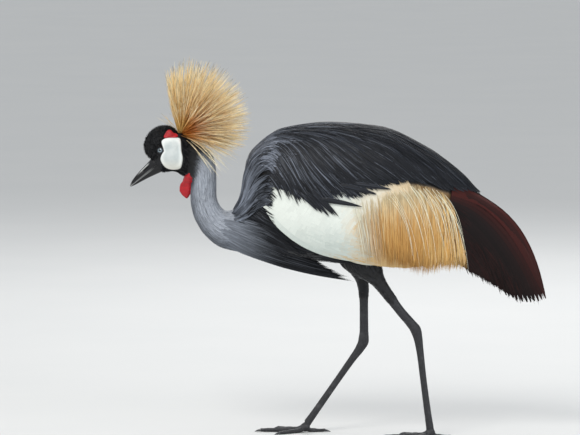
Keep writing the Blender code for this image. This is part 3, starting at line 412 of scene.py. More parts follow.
def run_along(paths):
    """Distance from the start of each path to each of its places."""
    steps = np.linalg.norm(np.diff(paths, axis=-2), axis=-1)
    return np.concatenate([np.zeros_like(steps[..., :1]), np.cumsum(steps, -1)], -1)


def cloak(x, turn, side):
    """Points of the cloak at x, turned so many degrees round from its ridge."""
    ridge, widest, keel, half = np.moveaxis(glide(CLOAK, x), -1, 0)
    angle = np.radians(turn)
    sine, upper = np.sin(angle), np.abs(turn) <= 90
    y = half * np.where(upper, sine, np.sign(sine) * np.abs(sine) ** LOWER_SQUARENESS)
    z = widest + np.where(upper, ridge - widest, widest - keel) * np.cos(angle)
    return np.stack(np.broadcast_arrays(x, side * y, z), -1) * MM


def superellipse(turn):
    """Rise and reach of the skin's section at a turn, for half sizes of 1."""
    c, s = np.cos(np.radians(turn)), np.sin(np.radians(turn))
    return np.sign(c) * np.abs(c) ** (2 / SKIN_POWER), np.sign(s) * np.abs(s) ** (2 / SKIN_POWER)


def torso(x, turn, side):
    """Points of the torso at x, turned so many degrees round from its top."""
    top, bottom, half = np.moveaxis(glide(TORSO, x), -1, 0)
    rise, reach = superellipse(turn)
    z = (top + bottom) / 2 + (top - bottom) / 2 * rise
    return np.stack(np.broadcast_arrays(x, side * half * reach, z), -1) * MM


def neck(station, turn, side):
    """Points of the head and neck at a station of their table, turned so many degrees from the crown."""
    crown_x, crown_z, throat_x, throat_z, half = np.moveaxis(glide(NECK_ROWS, station), -1, 0)
    rise, reach = superellipse(turn)
    x = (crown_x + throat_x) / 2 + (crown_x - throat_x) / 2 * rise
    z = (crown_z + throat_z) / 2 + (crown_z - throat_z) / 2 * rise
    return np.stack(np.broadcast_arrays(x, side * half * reach, z), -1) * MM


STEPS = {cloak: (0.5, 0.5), torso: (0.5, 1.0), neck: (0.02, 1.0)}


def slopes(surface, u, v, side):
    """How far a surface runs for each unit along it and each degree round it."""
    du, dv = STEPS[surface]
    along = (surface(u + du, v, side) - surface(u - du, v, side)) / (2 * du)
    around = (surface(u, v + dv, side) - surface(u, v - dv, side)) / (2 * dv)
    return along, around


def off(surface, u, v, side, lift):
    """Points lifted off a surface by millimetres, and the surface's normals there."""
    along, around = slopes(surface, u, v, side)
    normal = unit(np.cross(along, around)) * side
    return surface(u, v, side) + normal * np.asarray(lift)[..., None] * MM, normal


def walk(surface, u, v, side, lie, length, stations):
    """Places along the feathers' lie from each root, evenly over its length."""
    us, vs = [u], [v]
    step = length / (stations - 1)
    for _ in range(stations - 1):
        aim = np.radians(lie(us[-1], vs[-1]))
        along, around = slopes(surface, us[-1], vs[-1], side)
        per_u = np.maximum(np.linalg.norm(along, axis=-1) / MM, 0.05)
        per_v = np.maximum(np.linalg.norm(around, axis=-1) / MM, 0.05)
        us.append(us[-1] + step * np.cos(aim) / per_u)
        vs.append(vs[-1] + step * np.sin(aim) / per_v)
    return np.stack(us, 1), np.stack(vs, 1)


def rows_of_roots(surface, side, us, v_low, v_high, spacing, draw, jitter=0.3, keep=None):
    """Roots in staggered rows, one for each u, spaced evenly round the surface where keep(u, v) holds."""
    found = []
    gap = us[1] - us[0]
    for i, u in enumerate(us):
        v = np.linspace(v_low, v_high, 100)
        run = run_along(surface(np.full(100, float(u)), v, side) / MM)
        count = max(1, int(run[-1] / spacing))
        places = (np.arange(count) + 0.5 * (i % 2) + draw.uniform(-jitter, jitter, count)) * spacing
        found.append(np.stack([u + gap * draw.uniform(-jitter, jitter, count), np.interp(places, run, v)], 1))
    u, v = np.concatenate(found).T
    kept = np.full(len(u), True) if keep is None else keep(u, v)
    return u[kept], v[kept]


def dark_lie(x, turn):
    share = smooth(np.abs(turn), LIE_STARTS_AT, LIE_FULL_AT) * np.sign(turn)
    return glide(LIE, x)[..., 0] * share


def white_lie(x):
    return glide(WHITE_LIE, x)[..., 0]


def turn_at(x, z):
    """Degrees round the cloak at which it has height z, seen from the side."""
    ridge, widest, keel, _ = np.moveaxis(glide(CLOAK, x), -1, 0)
    above = np.degrees(np.arccos(np.clip((z - widest) / (ridge - widest), -1, 1)))
    below = 90 + np.degrees(np.arcsin(np.clip((widest - z) / (widest - keel), -1, 0.985)))
    return np.where(z >= widest, above, below)


def scapular_edge(x):
    """Degrees round the cloak of the dark scapulars' lower edge."""
    return turn_at(x, glide(SCAPULAR_EDGE, x)[..., 0])


class Coat:
    """Feathers of one piece, gathered as arrays and joined into one mesh."""

    def __init__(self):
        self.points, self.quads, self.ends = [], [], []
        self.quad_normals, self.end_normals = [], []
        self.colours, self.vanes, self.barbs, self.spots = [], [], [], []
        self.count = 0

    def add(self, draw, path, normal, width, thick, colour, spot, section=SLIM, roll=None, spread=0.35):
        """Adds feathers: path and normal are (n, s, 3), width (n, s) in mm, colour (n, 3) or (n, s, 3),
        spot (n, 2). roll is the mean and deviation of their turn about their own lengths, in degrees."""
        n, s = path.shape[:2]
        k = len(section)
        tint = draw.random(n)
        colour = np.repeat(colour[:, None], s, axis=1) if colour.ndim == 2 else colour
        along = unit(np.gradient(path, axis=1))
        beside = unit(np.cross(along, normal))
        up = np.cross(beside, along)
        if roll is not None:
            turned = np.radians(draw.normal(*roll, n))[:, None, None]
            beside, up = (beside * np.cos(turned) + up * np.sin(turned),
                          up * np.cos(turned) - beside * np.sin(turned))
        half = (width / 2 * MM)[..., None, None]
        share = np.linspace(0, 1, s)
        rise = thick * MM * (1 - 0.6 * share)[None, :, None, None] * section[:, 1][None, None, :, None]
        across = section[:, 0][None, None, :, None]
        points = path[:, :, None] + beside[:, :, None] * half * across + up[:, :, None] * rise
        top = unit(up[:, :, None] + beside[:, :, None] * across * spread)
        under = unit(beside[:, :, None] * across * spread - up[:, :, None])
        below = (np.roll(section[:, 0], -1) < section[:, 0])[None, None, :, None]
        after = lambda normals: np.roll(normals, -1, axis=2)
        first, second = np.where(below, under, top), np.where(below, after(under), after(top))
        corners = np.stack([first[:, :-1], second[:, :-1], second[:, 1:], first[:, 1:]], 3)
        self.quad_normals.append(corners.reshape(-1, 3).astype(np.float32))
        self.end_normals += [np.repeat(-along[:, 0], k, 0), np.repeat(along[:, -1], k, 0)]
        shape = (n, s, k)
        index = self.count + np.arange(n * s * k).reshape(shape)
        following = np.roll(index, -1, axis=2)
        quads = np.stack([index[:, :-1], following[:, :-1], following[:, 1:], index[:, 1:]], -1)
        self.quads.append(quads.reshape(-1, 4))
        self.ends += [index[:, 0, ::-1], index[:, -1]]
        run = run_along(path) / MM
        lay = np.broadcast_to
        vane = [lay(share[None, :, None], shape), lay(section[:, 0], shape), lay(tint[:, None, None], shape)]
        vane = np.stack(vane, -1)
        reach = np.abs(section[:, 0]) * (width / 2)[..., None]
        barb = np.stack([lay(run[..., None], shape), reach, lay(run[:, -1:, None], shape)], -1)
        patch = np.stack([vane[..., 0] - 0.5, vane[..., 1] * 0.5], -1) * PATCH
        self.points.append(points.reshape(-1, 3))
        self.vanes.append(vane.reshape(-1, 3))
        self.barbs.append(barb.reshape(-1, 3))
        self.spots.append((spot[:, None, None] + patch).reshape(-1, 2))
        self.colours.append(lay(colour[:, :, None], (*shape, 3)).reshape(-1, 3))
        self.count += n * s * k

    def build(self, name, material, slot, *nodes):
        """The coat as one mesh object, in the place of the nodes."""
        quads = np.concatenate(self.quads)
        loops = np.concatenate([quads.ravel()] + [end.ravel() for end in self.ends])
        sizes = [np.full(len(quads), 4)] + [np.full(len(end), end.shape[1]) for end in self.ends]
        mesh = mesh_of(name, np.concatenate(self.points), loops, np.concatenate(sizes))
        put(mesh, "vane", np.concatenate(self.vanes))
        put(mesh, "barb", np.concatenate(self.barbs))
        put_shade(mesh, np.concatenate(self.colours))
        map_corners(mesh, np.concatenate(self.spots), loops)
        mesh.normals_split_custom_set(np.concatenate(self.quad_normals + self.end_normals))
        return hang(piece(name, mesh, material), slot, *nodes)


def mesh_of(name, points, loops, sizes):
    """A smooth mesh from its points, the corners of its faces in a row and each face's count of them."""
    mesh = bpy.data.meshes.new(name)
    mesh.vertices.add(len(points))
    mesh.vertices.foreach_set("co", np.asarray(points, np.float32).ravel())
    mesh.loops.add(len(loops))
    mesh.loops.foreach_set("vertex_index", np.asarray(loops, np.int32))
    mesh.polygons.add(len(sizes))
    starts = np.concatenate([[0], np.cumsum(sizes)[:-1]])
    mesh.polygons.foreach_set("loop_start", starts.astype(np.int32))
    mesh.update(calc_edges=True)
    mesh.polygons.foreach_set("use_smooth", np.ones(len(sizes), bool))
    return mesh


def put(mesh, name, values):
    data = mesh.attributes.new(name, "FLOAT_VECTOR", "POINT").data
    data.foreach_set("vector", np.asarray(values, np.float32).ravel())


def put_shade(mesh, colours):
    rgba = np.concatenate([colours, np.ones((len(colours), 1))], 1).astype(np.float32)
    mesh.attributes.new("shade", "FLOAT_COLOR", "POINT").data.foreach_set("color", rgba.ravel())


def map_corners(mesh, spots, corners):
    """An OFBake map from the points' places on it."""
    spots = np.clip(spots, 0.002, 0.998)[corners]
    mesh.uv_layers.new(name="OFBake").data.foreach_set("uv", spots.astype(np.float32).ravel())


def verts(mesh):
    flat = np.empty(len(mesh.vertices) * 3, np.float32)
    mesh.vertices.foreach_get("co", flat)
    return flat.reshape(-1, 3)


def outward(mesh):
    """Turns every face outwards."""
    form = bmesh.new()
    form.from_mesh(mesh)
    bmesh.ops.recalc_face_normals(form, faces=form.faces)
    form.to_mesh(mesh)
    form.free()


def settle(obj):
    """The object's modifiers are worked into its mesh and removed."""
    graph = bpy.context.evaluated_depsgraph_get()
    made = bpy.data.meshes.new_from_object(obj.evaluated_get(graph), depsgraph=graph)
    obj.modifiers.clear()
    obj.data = made


def uvs(mesh, unwrap):
    """An OFBake map from an unwrap of the form's own points, given in millimetres."""
    corners = np.empty(len(mesh.loops), np.int32)
    mesh.loops.foreach_get("vertex_index", corners)
    map_corners(mesh, unwrap(verts(mesh) / MM), corners)


def piece(name, mesh, material):
    """An object of the finished mesh."""
    obj = bpy.data.objects.new(name, mesh)
    bpy.context.scene.collection.objects.link(obj)
    mesh.materials.clear()
    mesh.materials.append(material)
    return obj


def hang(obj, slot, *nodes):
    """Lets a finished piece ride with the bird, in the place of the nodes; its slot is not used."""
    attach(obj, "root")
    if nodes:
        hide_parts(*nodes)
    return obj


def bristle_tree():
    """Nodes that give each line of a mesh a tapering round body."""
    tree = bpy.data.node_groups.new("bristles", "GeometryNodeTree")
    sockets = {}
    given = (("Geometry", "Geometry"), ("Thickness", "Float"), ("Sides", "Int"), ("Finish", "Material"))
    for name, kind in given:
        sockets[name] = tree.interface.new_socket(name, in_out="INPUT", socket_type=f"NodeSocket{kind}")
    sockets["Thickness"].default_value = 0.001
    sockets["Sides"].default_value = 4
    tree.interface.new_socket("Geometry", in_out="OUTPUT", socket_type="NodeSocketGeometry")
    kinds = {"given": "NodeGroupInput", "made": "NodeGroupOutput", "lines": "GeometryNodeMeshToCurve",
             "body": "GeometryNodeCurveToMesh", "slim": "GeometryNodeInputNamedAttribute",
             "scaled": "ShaderNodeMath", "ring": "GeometryNodeCurvePrimitiveCircle",
             "joined": "GeometryNodeRealizeInstances", "finish": "GeometryNodeSetMaterial"}
    nodes = {key: tree.nodes.new(kind) for key, kind in kinds.items()}
    nodes["slim"].data_type = "FLOAT"
    nodes["slim"].inputs["Name"].default_value = "slim"
    nodes["scaled"].operation = "MULTIPLY"
    nodes["ring"].inputs["Radius"].default_value = 0.5
    nodes["body"].inputs["Fill Caps"].default_value = True
    for source, output, target, socket in (
            ("given", "Geometry", "lines", "Mesh"), ("lines", "Curve", "body", "Curve"),
            ("slim", "Attribute", "scaled", 0), ("given", "Thickness", "scaled", 1),
            ("scaled", 0, "body", "Scale"), ("given", "Sides", "ring", "Resolution"),
            ("ring", "Curve", "body", "Profile Curve"), ("body", "Mesh", "joined", "Geometry"),
            ("joined", "Geometry", "finish", "Geometry"), ("given", "Finish", "finish", "Material"),
            ("finish", "Geometry", "made", "Geometry")):
        tree.links.new(nodes[source].outputs[output], nodes[target].inputs[socket])
    return tree


def bristles(name, paths, slim, colour, spot, tint, thickness, sides, material):
    """Round bristles along paths (n, s, 3) in metres; slim is each place's share of the thickness."""
    n, s = paths.shape[:2]
    mesh = bpy.data.meshes.new(name)
    mesh.vertices.add(n * s)
    mesh.vertices.foreach_set("co", paths.astype(np.float32).ravel())
    index = np.arange(n * s).reshape(n, s)
    mesh.edges.add(n * (s - 1))
    mesh.edges.foreach_set("vertices", np.stack([index[:, :-1], index[:, 1:]], -1).astype(np.int32).ravel())
    mesh.attributes.new("slim", "FLOAT", "POINT").data.foreach_set("value", slim.astype(np.float32).ravel())
    share = np.broadcast_to(np.linspace(0, 1, s), (n, s))
    put(mesh, "vane", np.stack([share, 0 * share, np.repeat(tint[:, None], s, 1)], -1))
    put(mesh, "barb", np.stack([run_along(paths) / MM, 0 * share, 0 * share], -1))
    spots = [spot[:, :1] + (share - 0.5) * PATCH, np.repeat(spot[:, 1:], s, 1), 0 * share]
    put(mesh, "spot", np.stack(spots, -1))
    put_shade(mesh, colour.reshape(-1, 3))
    obj = bpy.data.objects.new(name, mesh)
    bpy.context.scene.collection.objects.link(obj)
    modifier = obj.modifiers.new("bristles", "NODES")
    modifier.node_group = bpy.data.node_groups.get("bristles") or bristle_tree()
    inputs = [item for item in modifier.node_group.interface.items_tree if item.in_out == "INPUT"]
    sockets = {item.name: item.identifier for item in inputs}
    modifier[sockets["Thickness"]] = thickness * MM
    modifier[sockets["Sides"]] = sides
    modifier[sockets["Finish"]] = material
    settle(obj)
    mesh = obj.data
    mesh.polygons.foreach_set("use_smooth", np.ones(len(mesh.polygons), bool))
    spots = np.empty(len(mesh.vertices) * 3, np.float32)
    mesh.attributes["spot"].data.foreach_get("vector", spots)
    uvs(mesh, lambda p: spots.reshape(-1, 3)[:, :2])
    return obj


def leaf(stations, root=0.5, tip=0.06, belly=0.45):
    """Shares of the widest width along a lanceolate feather, as one row."""
    t = np.linspace(0, 1, stations)
    grow = root + (1 - root) * np.sin(np.clip(t / belly, 0, 1) * math.pi / 2)
    fall = tip + (1 - tip) * np.cos(np.clip((t - belly) / (1 - belly), 0, 1) * math.pi / 2) ** 0.8
    return np.where(t < belly, grow, fall)[None]


def lift_curve(stations, root, knee, tip, at=0.3):
    """Lift in millimetres along a feather, as one row."""
    return np.interp(np.linspace(0, 1, stations), [0, at, 1], [root, knee, tip])[None]


def lifts(draw, n, stations, levels, low, high, start=0):
    """The lift at root, knee and tip, with a loose rise towards the tip that each feather has of its own."""
    return lift_curve(stations, *levels) + draw.uniform(low, high, (n, 1)) * np.linspace(start, 1, stations)


def cloak_spot(x, turn, side):
    """A feather's place on the flat plan of the cloak, one half for each side."""
    return np.stack([(x + 180) / 560, 0.25 + side * 0.01 + 0.23 * turn / 180 + (0.5 if side > 0 else 0)], -1)


def side_spot(places, side):
    """The place on the cloak's plan of side-view places (n, 2)."""
    return cloak_spot(places[:, 0], turn_at(places[:, 0], places[:, 1]), side)


def neck_spot(station, turn):
    return np.stack([0.02 + station / 11.5, 0.02 + 0.96 * (turn % 360) / 360], -1)


def side_map(x, z, width, height):
    """An unwrap in the side view, from a corner and the size in millimetres that fills the map."""
    return lambda p: np.stack([(p[:, 0] - x) / width, (p[:, 2] - z) / height], -1)


class Shader:
    """Builds a material's nodes from short calls that return sockets."""

    def __init__(self, name, roughness, sheen=0.0, coat=0.0, specular=0.5):
        self.material = bpy.data.materials.new(name)
        self.material.use_nodes = True
        self.tree = self.material.node_tree
        self.surface = self.tree.nodes["Principled BSDF"]
        for key, value in (("Roughness", roughness), ("Sheen Weight", sheen), ("Sheen Roughness", 0.4),
                           ("Coat Weight", coat), ("Specular IOR Level", specular)):
            self.surface.inputs[key].default_value = value

    def node(self, kind, **settings):
        made = self.tree.nodes.new(kind)
        for key, value in settings.items():
            setattr(made, key, value)
        return made

    def feed(self, socket, value):
        if isinstance(value, bpy.types.NodeSocket):
            self.tree.links.new(value, socket)
        elif value is not None:
            socket.default_value = value

    def made(self, kind, output, inputs, **settings):
        """A new node's output, with its inputs fed by name or number."""
        node = self.node(kind, **settings)
        for key, value in inputs.items():
            self.feed(node.inputs[key], value)
        return node.outputs[output]

    def math(self, operation, *values):
        return self.made("ShaderNodeMath", 0, dict(enumerate(values)), operation=operation)

    def mix(self, share, a, b, mode="MIX"):
        inputs = {"Factor": share, "A": rgba(a), "B": rgba(b)}
        return self.made("ShaderNodeMix", "Result", inputs, data_type="RGBA", blend_type=mode)

    def step(self, value, low, high, start=0.0, end=1.0):
        """An even curve from start to end as the value goes from low to high."""
        inputs = {"From Min": low, "From Max": high, "To Min": start, "To Max": end, "Value": value}
        return self.made("ShaderNodeMapRange", "Result", inputs, interpolation_type="SMOOTHSTEP")

    def shade(self):
        """The colour that the piece's own points carry."""
        return self.node("ShaderNodeAttribute", attribute_name="shade").outputs["Color"]

    def parts(self, name=None):
        """The three numbers of an attribute, or of the place on the object."""
        split = self.node("ShaderNodeSeparateXYZ")
        if name:
            source = self.node("ShaderNodeAttribute", attribute_name=name).outputs["Vector"]
        else:
            source = self.node("ShaderNodeTexCoord").outputs["Object"]
        self.feed(split.inputs[0], source)
        return split.outputs

    def place(self, scale=(1, 1, 1)):
        """Object coordinates, stretched."""
        made = self.node("ShaderNodeMapping")
        self.feed(made.inputs["Vector"], self.node("ShaderNodeTexCoord").outputs["Object"])
        made.inputs["Scale"].default_value = scale
        return made.outputs[0]

    def noise(self, scale, detail=3.0, vector=None):
        made = self.node("ShaderNodeTexNoise")
        self.feed(made.inputs["Vector"], vector or self.place())
        made.inputs["Scale"].default_value = scale
        made.inputs["Detail"].default_value = detail
        return made.outputs["Fac"]

    def cells(self, scale, feature="DISTANCE_TO_EDGE", vector=None):
        made = self.node("ShaderNodeTexVoronoi", feature=feature)
        self.feed(made.inputs["Vector"], vector or self.place())
        made.inputs["Scale"].default_value = scale
        return made.outputs["Distance"]

    def bump(self, height, strength, distance):
        inputs = {"Strength": strength, "Distance": distance, "Height": height}
        self.feed(self.surface.inputs["Normal"], self.made("ShaderNodeBump", "Normal", inputs))

    def paint(self, colour, roughness=None):
        self.feed(self.surface.inputs["Base Color"], rgba(colour))
        self.feed(self.surface.inputs["Roughness"], roughness)
        return self.material


def rgba(colour):
    if isinstance(colour, bpy.types.NodeSocket):
        return colour
    return (*[float(c) for c in colour], 1.0)


def plumage(name, roughness=0.6, shaft=None, shaft_width=0.1, fringe=None, fringe_share=0.5, fringe_from=0.35,
            barb_pitch=1.6, barb_depth=0.25, sheen=0.15, root_painted_shade=0.55, specular=0.4, tint_span=0.5):
    """Feather finish: the vane's own shade, with shaft, fringe, slanting barbs and roots darkened by painted
    shade.
    """
    s = Shader(name, roughness, sheen=sheen, specular=specular)
    along, across, tint = s.parts("vane")
    run, reach, _ = s.parts("barb")
    edge = s.math("ABSOLUTE", across)
    phase = s.math("MULTIPLY_ADD", reach, -1.25, run)
    wobble = s.math("MULTIPLY_ADD", s.noise(220, 2.0), 2.2, s.math("MULTIPLY", tint, 6.0))
    wave = s.math("SINE", s.math("MULTIPLY", s.math("ADD", phase, wobble), 2 * math.pi / barb_pitch))
    level = s.math("MULTIPLY_ADD", wave, barb_depth / 2, 1.0 - barb_depth / 2)
    tone = s.math("MULTIPLY", level, s.math("MULTIPLY_ADD", tint, tint_span, 1 - tint_span / 2))
    # The roots are darkened towards their given level: painted shade where each feather lies under the ones
    # above it.
    tone = s.math("MULTIPLY", tone, s.step(along, 0.0, 0.45, root_painted_shade, 1.0))
    colour = s.shade()
    if fringe is not None:
        colour = s.mix(s.math("MULTIPLY", s.step(edge, fringe_from, 0.97), fringe_share), colour, fringe)
    if shaft is not None:
        line = s.step(edge, shaft_width * 0.4, shaft_width, 1.0, 0.0)
        colour = s.mix(s.math("MULTIPLY", line, s.step(along, 0.75, 1.0, 0.85, 0.1)), colour, shaft)
    grey = s.made("ShaderNodeCombineXYZ", 0, {0: tone, 1: tone, 2: tone})
    s.bump(wave, 0.25, 0.0002)
    return s.paint(s.mix(1.0, colour, grey, "MULTIPLY"))


def aim(obj, target):
    obj.rotation_euler = (Vector(target) - obj.location).to_track_quat("-Z", "Y").to_euler()


def make_camera():
    """A long lens low on the bird's left side, as in the photograph."""
    data = bpy.data.cameras.new("camera")
    data.lens = 300
    data.sensor_width = 36
    data.clip_end = 60
    camera = bpy.data.objects.new("camera", data)
    bpy.context.scene.collection.objects.link(camera)
    tilt = math.radians(CAMERA_TILT)
    camera.location = CAMERA_TARGET + CAMERA_DISTANCE * Vector((0, -math.cos(tilt), math.sin(tilt)))
    aim(camera, CAMERA_TARGET)
    bpy.context.scene.camera = camera


def make_floor():
    """A pale floor, wide enough to fill every view."""
    r = FLOOR_REACH
    mesh = mesh_of("floor", [(-r, -r, 0), (r, -r, 0), (r, r, 0), (-r, r, 0)], np.arange(4), np.array([4]))
    s = Shader("studio_floor", 0.85)
    s.paint(s.mix(s.noise(3.0), (0.60, 0.605, 0.60), (0.64, 0.64, 0.63)))
    piece("floor", mesh, s.material)


def make_lights():
    """A broad soft key from above the camera, a wide fill and a gentle rim."""
    world = bpy.data.worlds.new("studio")
    world.use_nodes = True
    background = world.node_tree.nodes["Background"]
    background.inputs["Color"].default_value = (0.94, 0.97, 1.0, 1)
    background.inputs["Strength"].default_value = 0.75
    bpy.context.scene.world = world
    bpy.context.scene.view_settings.view_transform = "Standard"
    for name, place, size, power, colour in LIGHTS:
        data = bpy.data.lights.new(name, "AREA")
        data.shape = "DISK"
        data.size = size
        data.energy = power
        data.color = colour
        light = bpy.data.objects.new(name, data)
        light.location = place
        bpy.context.scene.collection.objects.link(light)
        aim(light, (-0.05, 0, 0.36))


def ring_loft(rings):
    """A closed surface through rings of points (rings, turns, 3), capped at both ends."""
    count, turns = rings.shape[:2]
    index = np.arange(count * turns).reshape(count, turns)
    following = np.roll(index, -1, axis=1)
    quads = np.stack([index[:-1], following[:-1], following[1:], index[1:]], -1)
    points = np.concatenate([rings.reshape(-1, 3), rings[0].mean(0)[None], rings[-1].mean(0)[None]])
    first = np.full(turns, count * turns)
    start = np.stack([first, following[0], index[0]], -1)
    end = np.stack([first + 1, index[-1], following[-1]], -1)
    loops = np.concatenate([quads.ravel(), start.ravel(), end.ravel()])
    return points, loops, np.repeat([4, 3], [quads.size // 4, 2 * turns])


def hoop(rings):
    """A closed hoop from rings of points that follow each other round."""
    count, turns = rings.shape[:2]
    index = np.arange(count * turns).reshape(count, turns)
    after, beside = np.roll(index, -1, 0), np.roll(index, -1, 1)
    quads = np.stack([index, beside, np.roll(after, -1, 1), after], -1).reshape(-1, 4)
    return rings.reshape(-1, 3), quads.ravel(), np.full(len(quads), 4)


def shell(name, form, unwrap, material, slot, *nodes, shade=None):
    """A closed piece of bare skin or horn; shade holds its points' colours, or finds them from its points."""
    mesh = mesh_of(name, *form)
    outward(mesh)
    if shade is not None:
        put_shade(mesh, shade(verts(mesh) / MM) if callable(shade) else shade)
    uvs(mesh, unwrap)
    return hang(piece(name, mesh, material), slot, *nodes)


def surface_rings(surface, us, inset, turns=48):
    """Rings of a surface drawn in by an inset in millimetres for each station."""
    v = np.linspace(-180, 180, turns, endpoint=False) + 0.01
    u, v = np.meshgrid(us, v, indexing="ij")
    return off(surface, u, v, RIGHT, -np.broadcast_to(np.asarray(inset)[:, None], u.shape))[0]


def velvet_axes():
    """The velvet dome's own axes, as rows: it is tilted in the side view."""
    t = math.radians(VELVET_TILT)
    return np.array([[math.cos(t), 0, math.sin(t)], [0, 1, 0], [-math.sin(t), 0, math.cos(t)]])


def velvet_rings(turns=40, steps=24):
    """Rings of the dome under the velvet cap."""
    size = np.array(VELVET_SIZE) - 2.0
    a = np.linspace(-math.pi / 2 + 0.05, math.pi / 2 - 0.05, steps)[:, None]
    b = even_turn(turns)[None]
    local = [size[0] * np.sin(a), size[1] * np.cos(a) * np.cos(b), size[2] * np.cos(a) * np.sin(b)]
    return (np.stack(np.broadcast_arrays(*local), -1) @ velvet_axes() + np.array(VELVET_CENTRE)) * MM


def leg_station(name, s):
    return glide([(i, *row) for i, row in enumerate(LEG_PATHS[name])], s)


def leg_axis(name, s):
    """A leg's x, z, half depth and half width at its stations, and its direction in the side view."""
    ahead = unit(leg_station(name, s + 0.05)[..., :2] - leg_station(name, s - 0.05)[..., :2])
    return *np.moveaxis(leg_station(name, s), -1, 0), ahead


def about_leg(name, x, z, ahead, fore, out):
    """Points round a leg, so far ahead of its middle and out from it. The legs lean in towards the hips."""
    y = SIDES[name] * (LEG_Y - 3 * smooth(z, 190, 332)) + out
    return np.stack([x - fore * ahead[..., 1], y, z + fore * ahead[..., 0]], -1) * MM


def leg_rings(name, first, last, steps, inset, turns=28):
    """Rings of a leg between two of its stations, square to its path."""
    x, z, depth, width, ahead = leg_axis(name, np.linspace(first, last, steps)[:, None])
    angle = even_turn(turns)[None]
    return about_leg(name, x, z, ahead, (depth - inset) * np.cos(angle), (width - inset) * np.sin(angle))


def foot_ball(name):
    """Where the ball of the foot stands, in line with the end of the leg."""
    end = leg_station(name, LEG_END)[:2]
    return (end + BALL_AHEAD * unit(end - leg_station(name, LEG_END - 1)[:2]))[0]


def toe_rings(name, toe, turns=20):
    """Rings of a toe from the ball down to the floor and out to where its skin holds the claw's root."""
    kind, turn, length, wide, slim = toe
    turn = math.radians(turn)
    heading = np.array([-math.cos(turn), SIDES[name] * math.sin(turn), 0.0])
    beside = np.array([-heading[1], heading[0], 0.0])
    end = 1 + TOE_CUFF / length
    share = np.linspace(0, end, 44)
    radius = wide + (slim - wide) * share
    rest = radius * SOLE_SHARE + 0.9 * smooth(share, 0.9, 1.0)
    root = np.array([foot_ball(name), SIDES[name] * LEG_Y, TOE_BALL_Z])
    line = root[None] + heading[None] * (length * share)[:, None]
    drop = np.clip(share / 0.22, 0, 1)
    line[:, 2] = TOE_BALL_Z + (rest - TOE_BALL_Z) * drop * drop * (3 - 2 * drop)
    joints = np.cos(share * 2 * math.pi * (2 if kind == "hind" else 3.4) + 0.4)
    tip = np.sqrt(np.clip(1 - ((share - end) * length / 3.0 + 1).clip(0) ** 2, 0, 1))
    radius = (radius * (1 + 0.07 * joints) * (0.35 + 0.65 * tip))[:, None, None]
    angle = even_turn(turns)[None, :, None]
    away = np.cos(angle) * beside + np.sin(angle) * np.array([0, 0, 1.0])
    return over_floor(line[:, None] + radius * away)


def pad(name):
    """The ball of the foot, where the toes meet under the leg."""
    angle = even_turn(20)[None]
    rise = np.linspace(-0.98, 0.98, 12)[:, None]
    reach = np.sqrt(1 - rise**2)
    x = foot_ball(name) + 8.2 * reach * np.cos(angle)
    y = SIDES[name] * LEG_Y + 7.6 * reach * np.sin(angle)
    return over_floor(np.stack(np.broadcast_arrays(x, y, TOE_BALL_Z - 0.2 + 8.4 * rise), -1))[::-1]


def over_floor(rings):
    """Rings in metres that stay just over the floor."""
    rings[..., 2] = np.maximum(rings[..., 2], 0.15)
    return rings * MM


def make_skin():
    """One skin over head, neck, body, legs and feet, drawn in where feathers cover it."""
    stations = np.linspace(0.12, 11, 150)
    inset = np.interp(stations, [0, 0.8, 3.2, 5, 8, 11], [0.5, 1.2, 1.4, 2.2, 3.0, 3.5])
    us = np.linspace(-171, 220, 120)
    forms = [surface_rings(neck, stations, inset), velvet_rings(),
             surface_rings(torso, us, np.interp(us, [-171, -150, 200, 220], [2.0, 3.5, 3.5, 3.0]))]
    for name in SIDES:
        forms.append(leg_rings(name, 0.0, FEATHERS_END + 0.3, 40, 1.6))
        forms.append(leg_rings(name, FEATHERS_END - 0.3, LEG_END, 110, 0.1))
        forms += [toe_rings(name, toe) for toe in TOES]
        forms.append(pad(name))
    points, loops, sizes = zip(*[ring_loft(rings) for rings in forms])
    starts = np.cumsum([0] + [len(p) for p in points])
    loops = np.concatenate([corners + start for corners, start in zip(loops, starts)])
    mesh = mesh_of("skin", np.concatenate(points), loops, np.concatenate(sizes))
    outward(mesh)
    obj = piece("skin", mesh, skin_material())
    remesh = obj.modifiers.new("one_skin", "REMESH")
    remesh.mode = "VOXEL"
    remesh.voxel_size = SKIN_VOXEL * MM
    remesh.use_smooth_shade = True
    soften = obj.modifiers.new("soften", "SMOOTH")
    soften.factor = 0.5
    soften.iterations = 3
    lighter = obj.modifiers.new("fewer_faces", "DECIMATE")
    lighter.ratio = 0.42
    settle(obj)
    put_shade(obj.data, skin_colour(verts(obj.data)))
    uvs(obj.data, skin_unwrap)
    flesh = [f"{part}_{name}" for part in ("thigh", "shank", "tarsus", "foot") for name in SIDES]
    return hang(obj, "leg_black", "head", "neck_upper", "neck_middle", "neck_lower", "torso", *flesh)


def skin_unwrap(p):
    turn = np.arctan2(p[:, 1], p[:, 2] - 420) / (2 * math.pi) + 0.5
    return np.stack([(p[:, 0] + 380) / 620 * 0.98, turn * 0.98 + 0.01], -1)


def skin_colour(p):
    """Shades under the coat: black head and body, grey neck, dark legs."""
    p = p / MM
    colour = np.broadcast_to(SOOT, (len(p), 3)).copy()
    on_neck = smooth(p[:, 0], -252, -236) * smooth(p[:, 2], 315, 330)
    on_neck = np.maximum(on_neck, smooth(-p[:, 2], -468, -446) * smooth(-p[:, 0], 165, 175))
    colour = blend(colour, NECK_DARK * 0.8, on_neck * smooth(-p[:, 0], 150, 178))
    breast = smooth(-p[:, 0], 60, 150) * smooth(-p[:, 2], -440, -400)
    colour = blend(colour, NECK_DARK * 0.45, breast)
    legs = smooth(-p[:, 2], -272, -262)
    return blend(colour, LEG, legs)


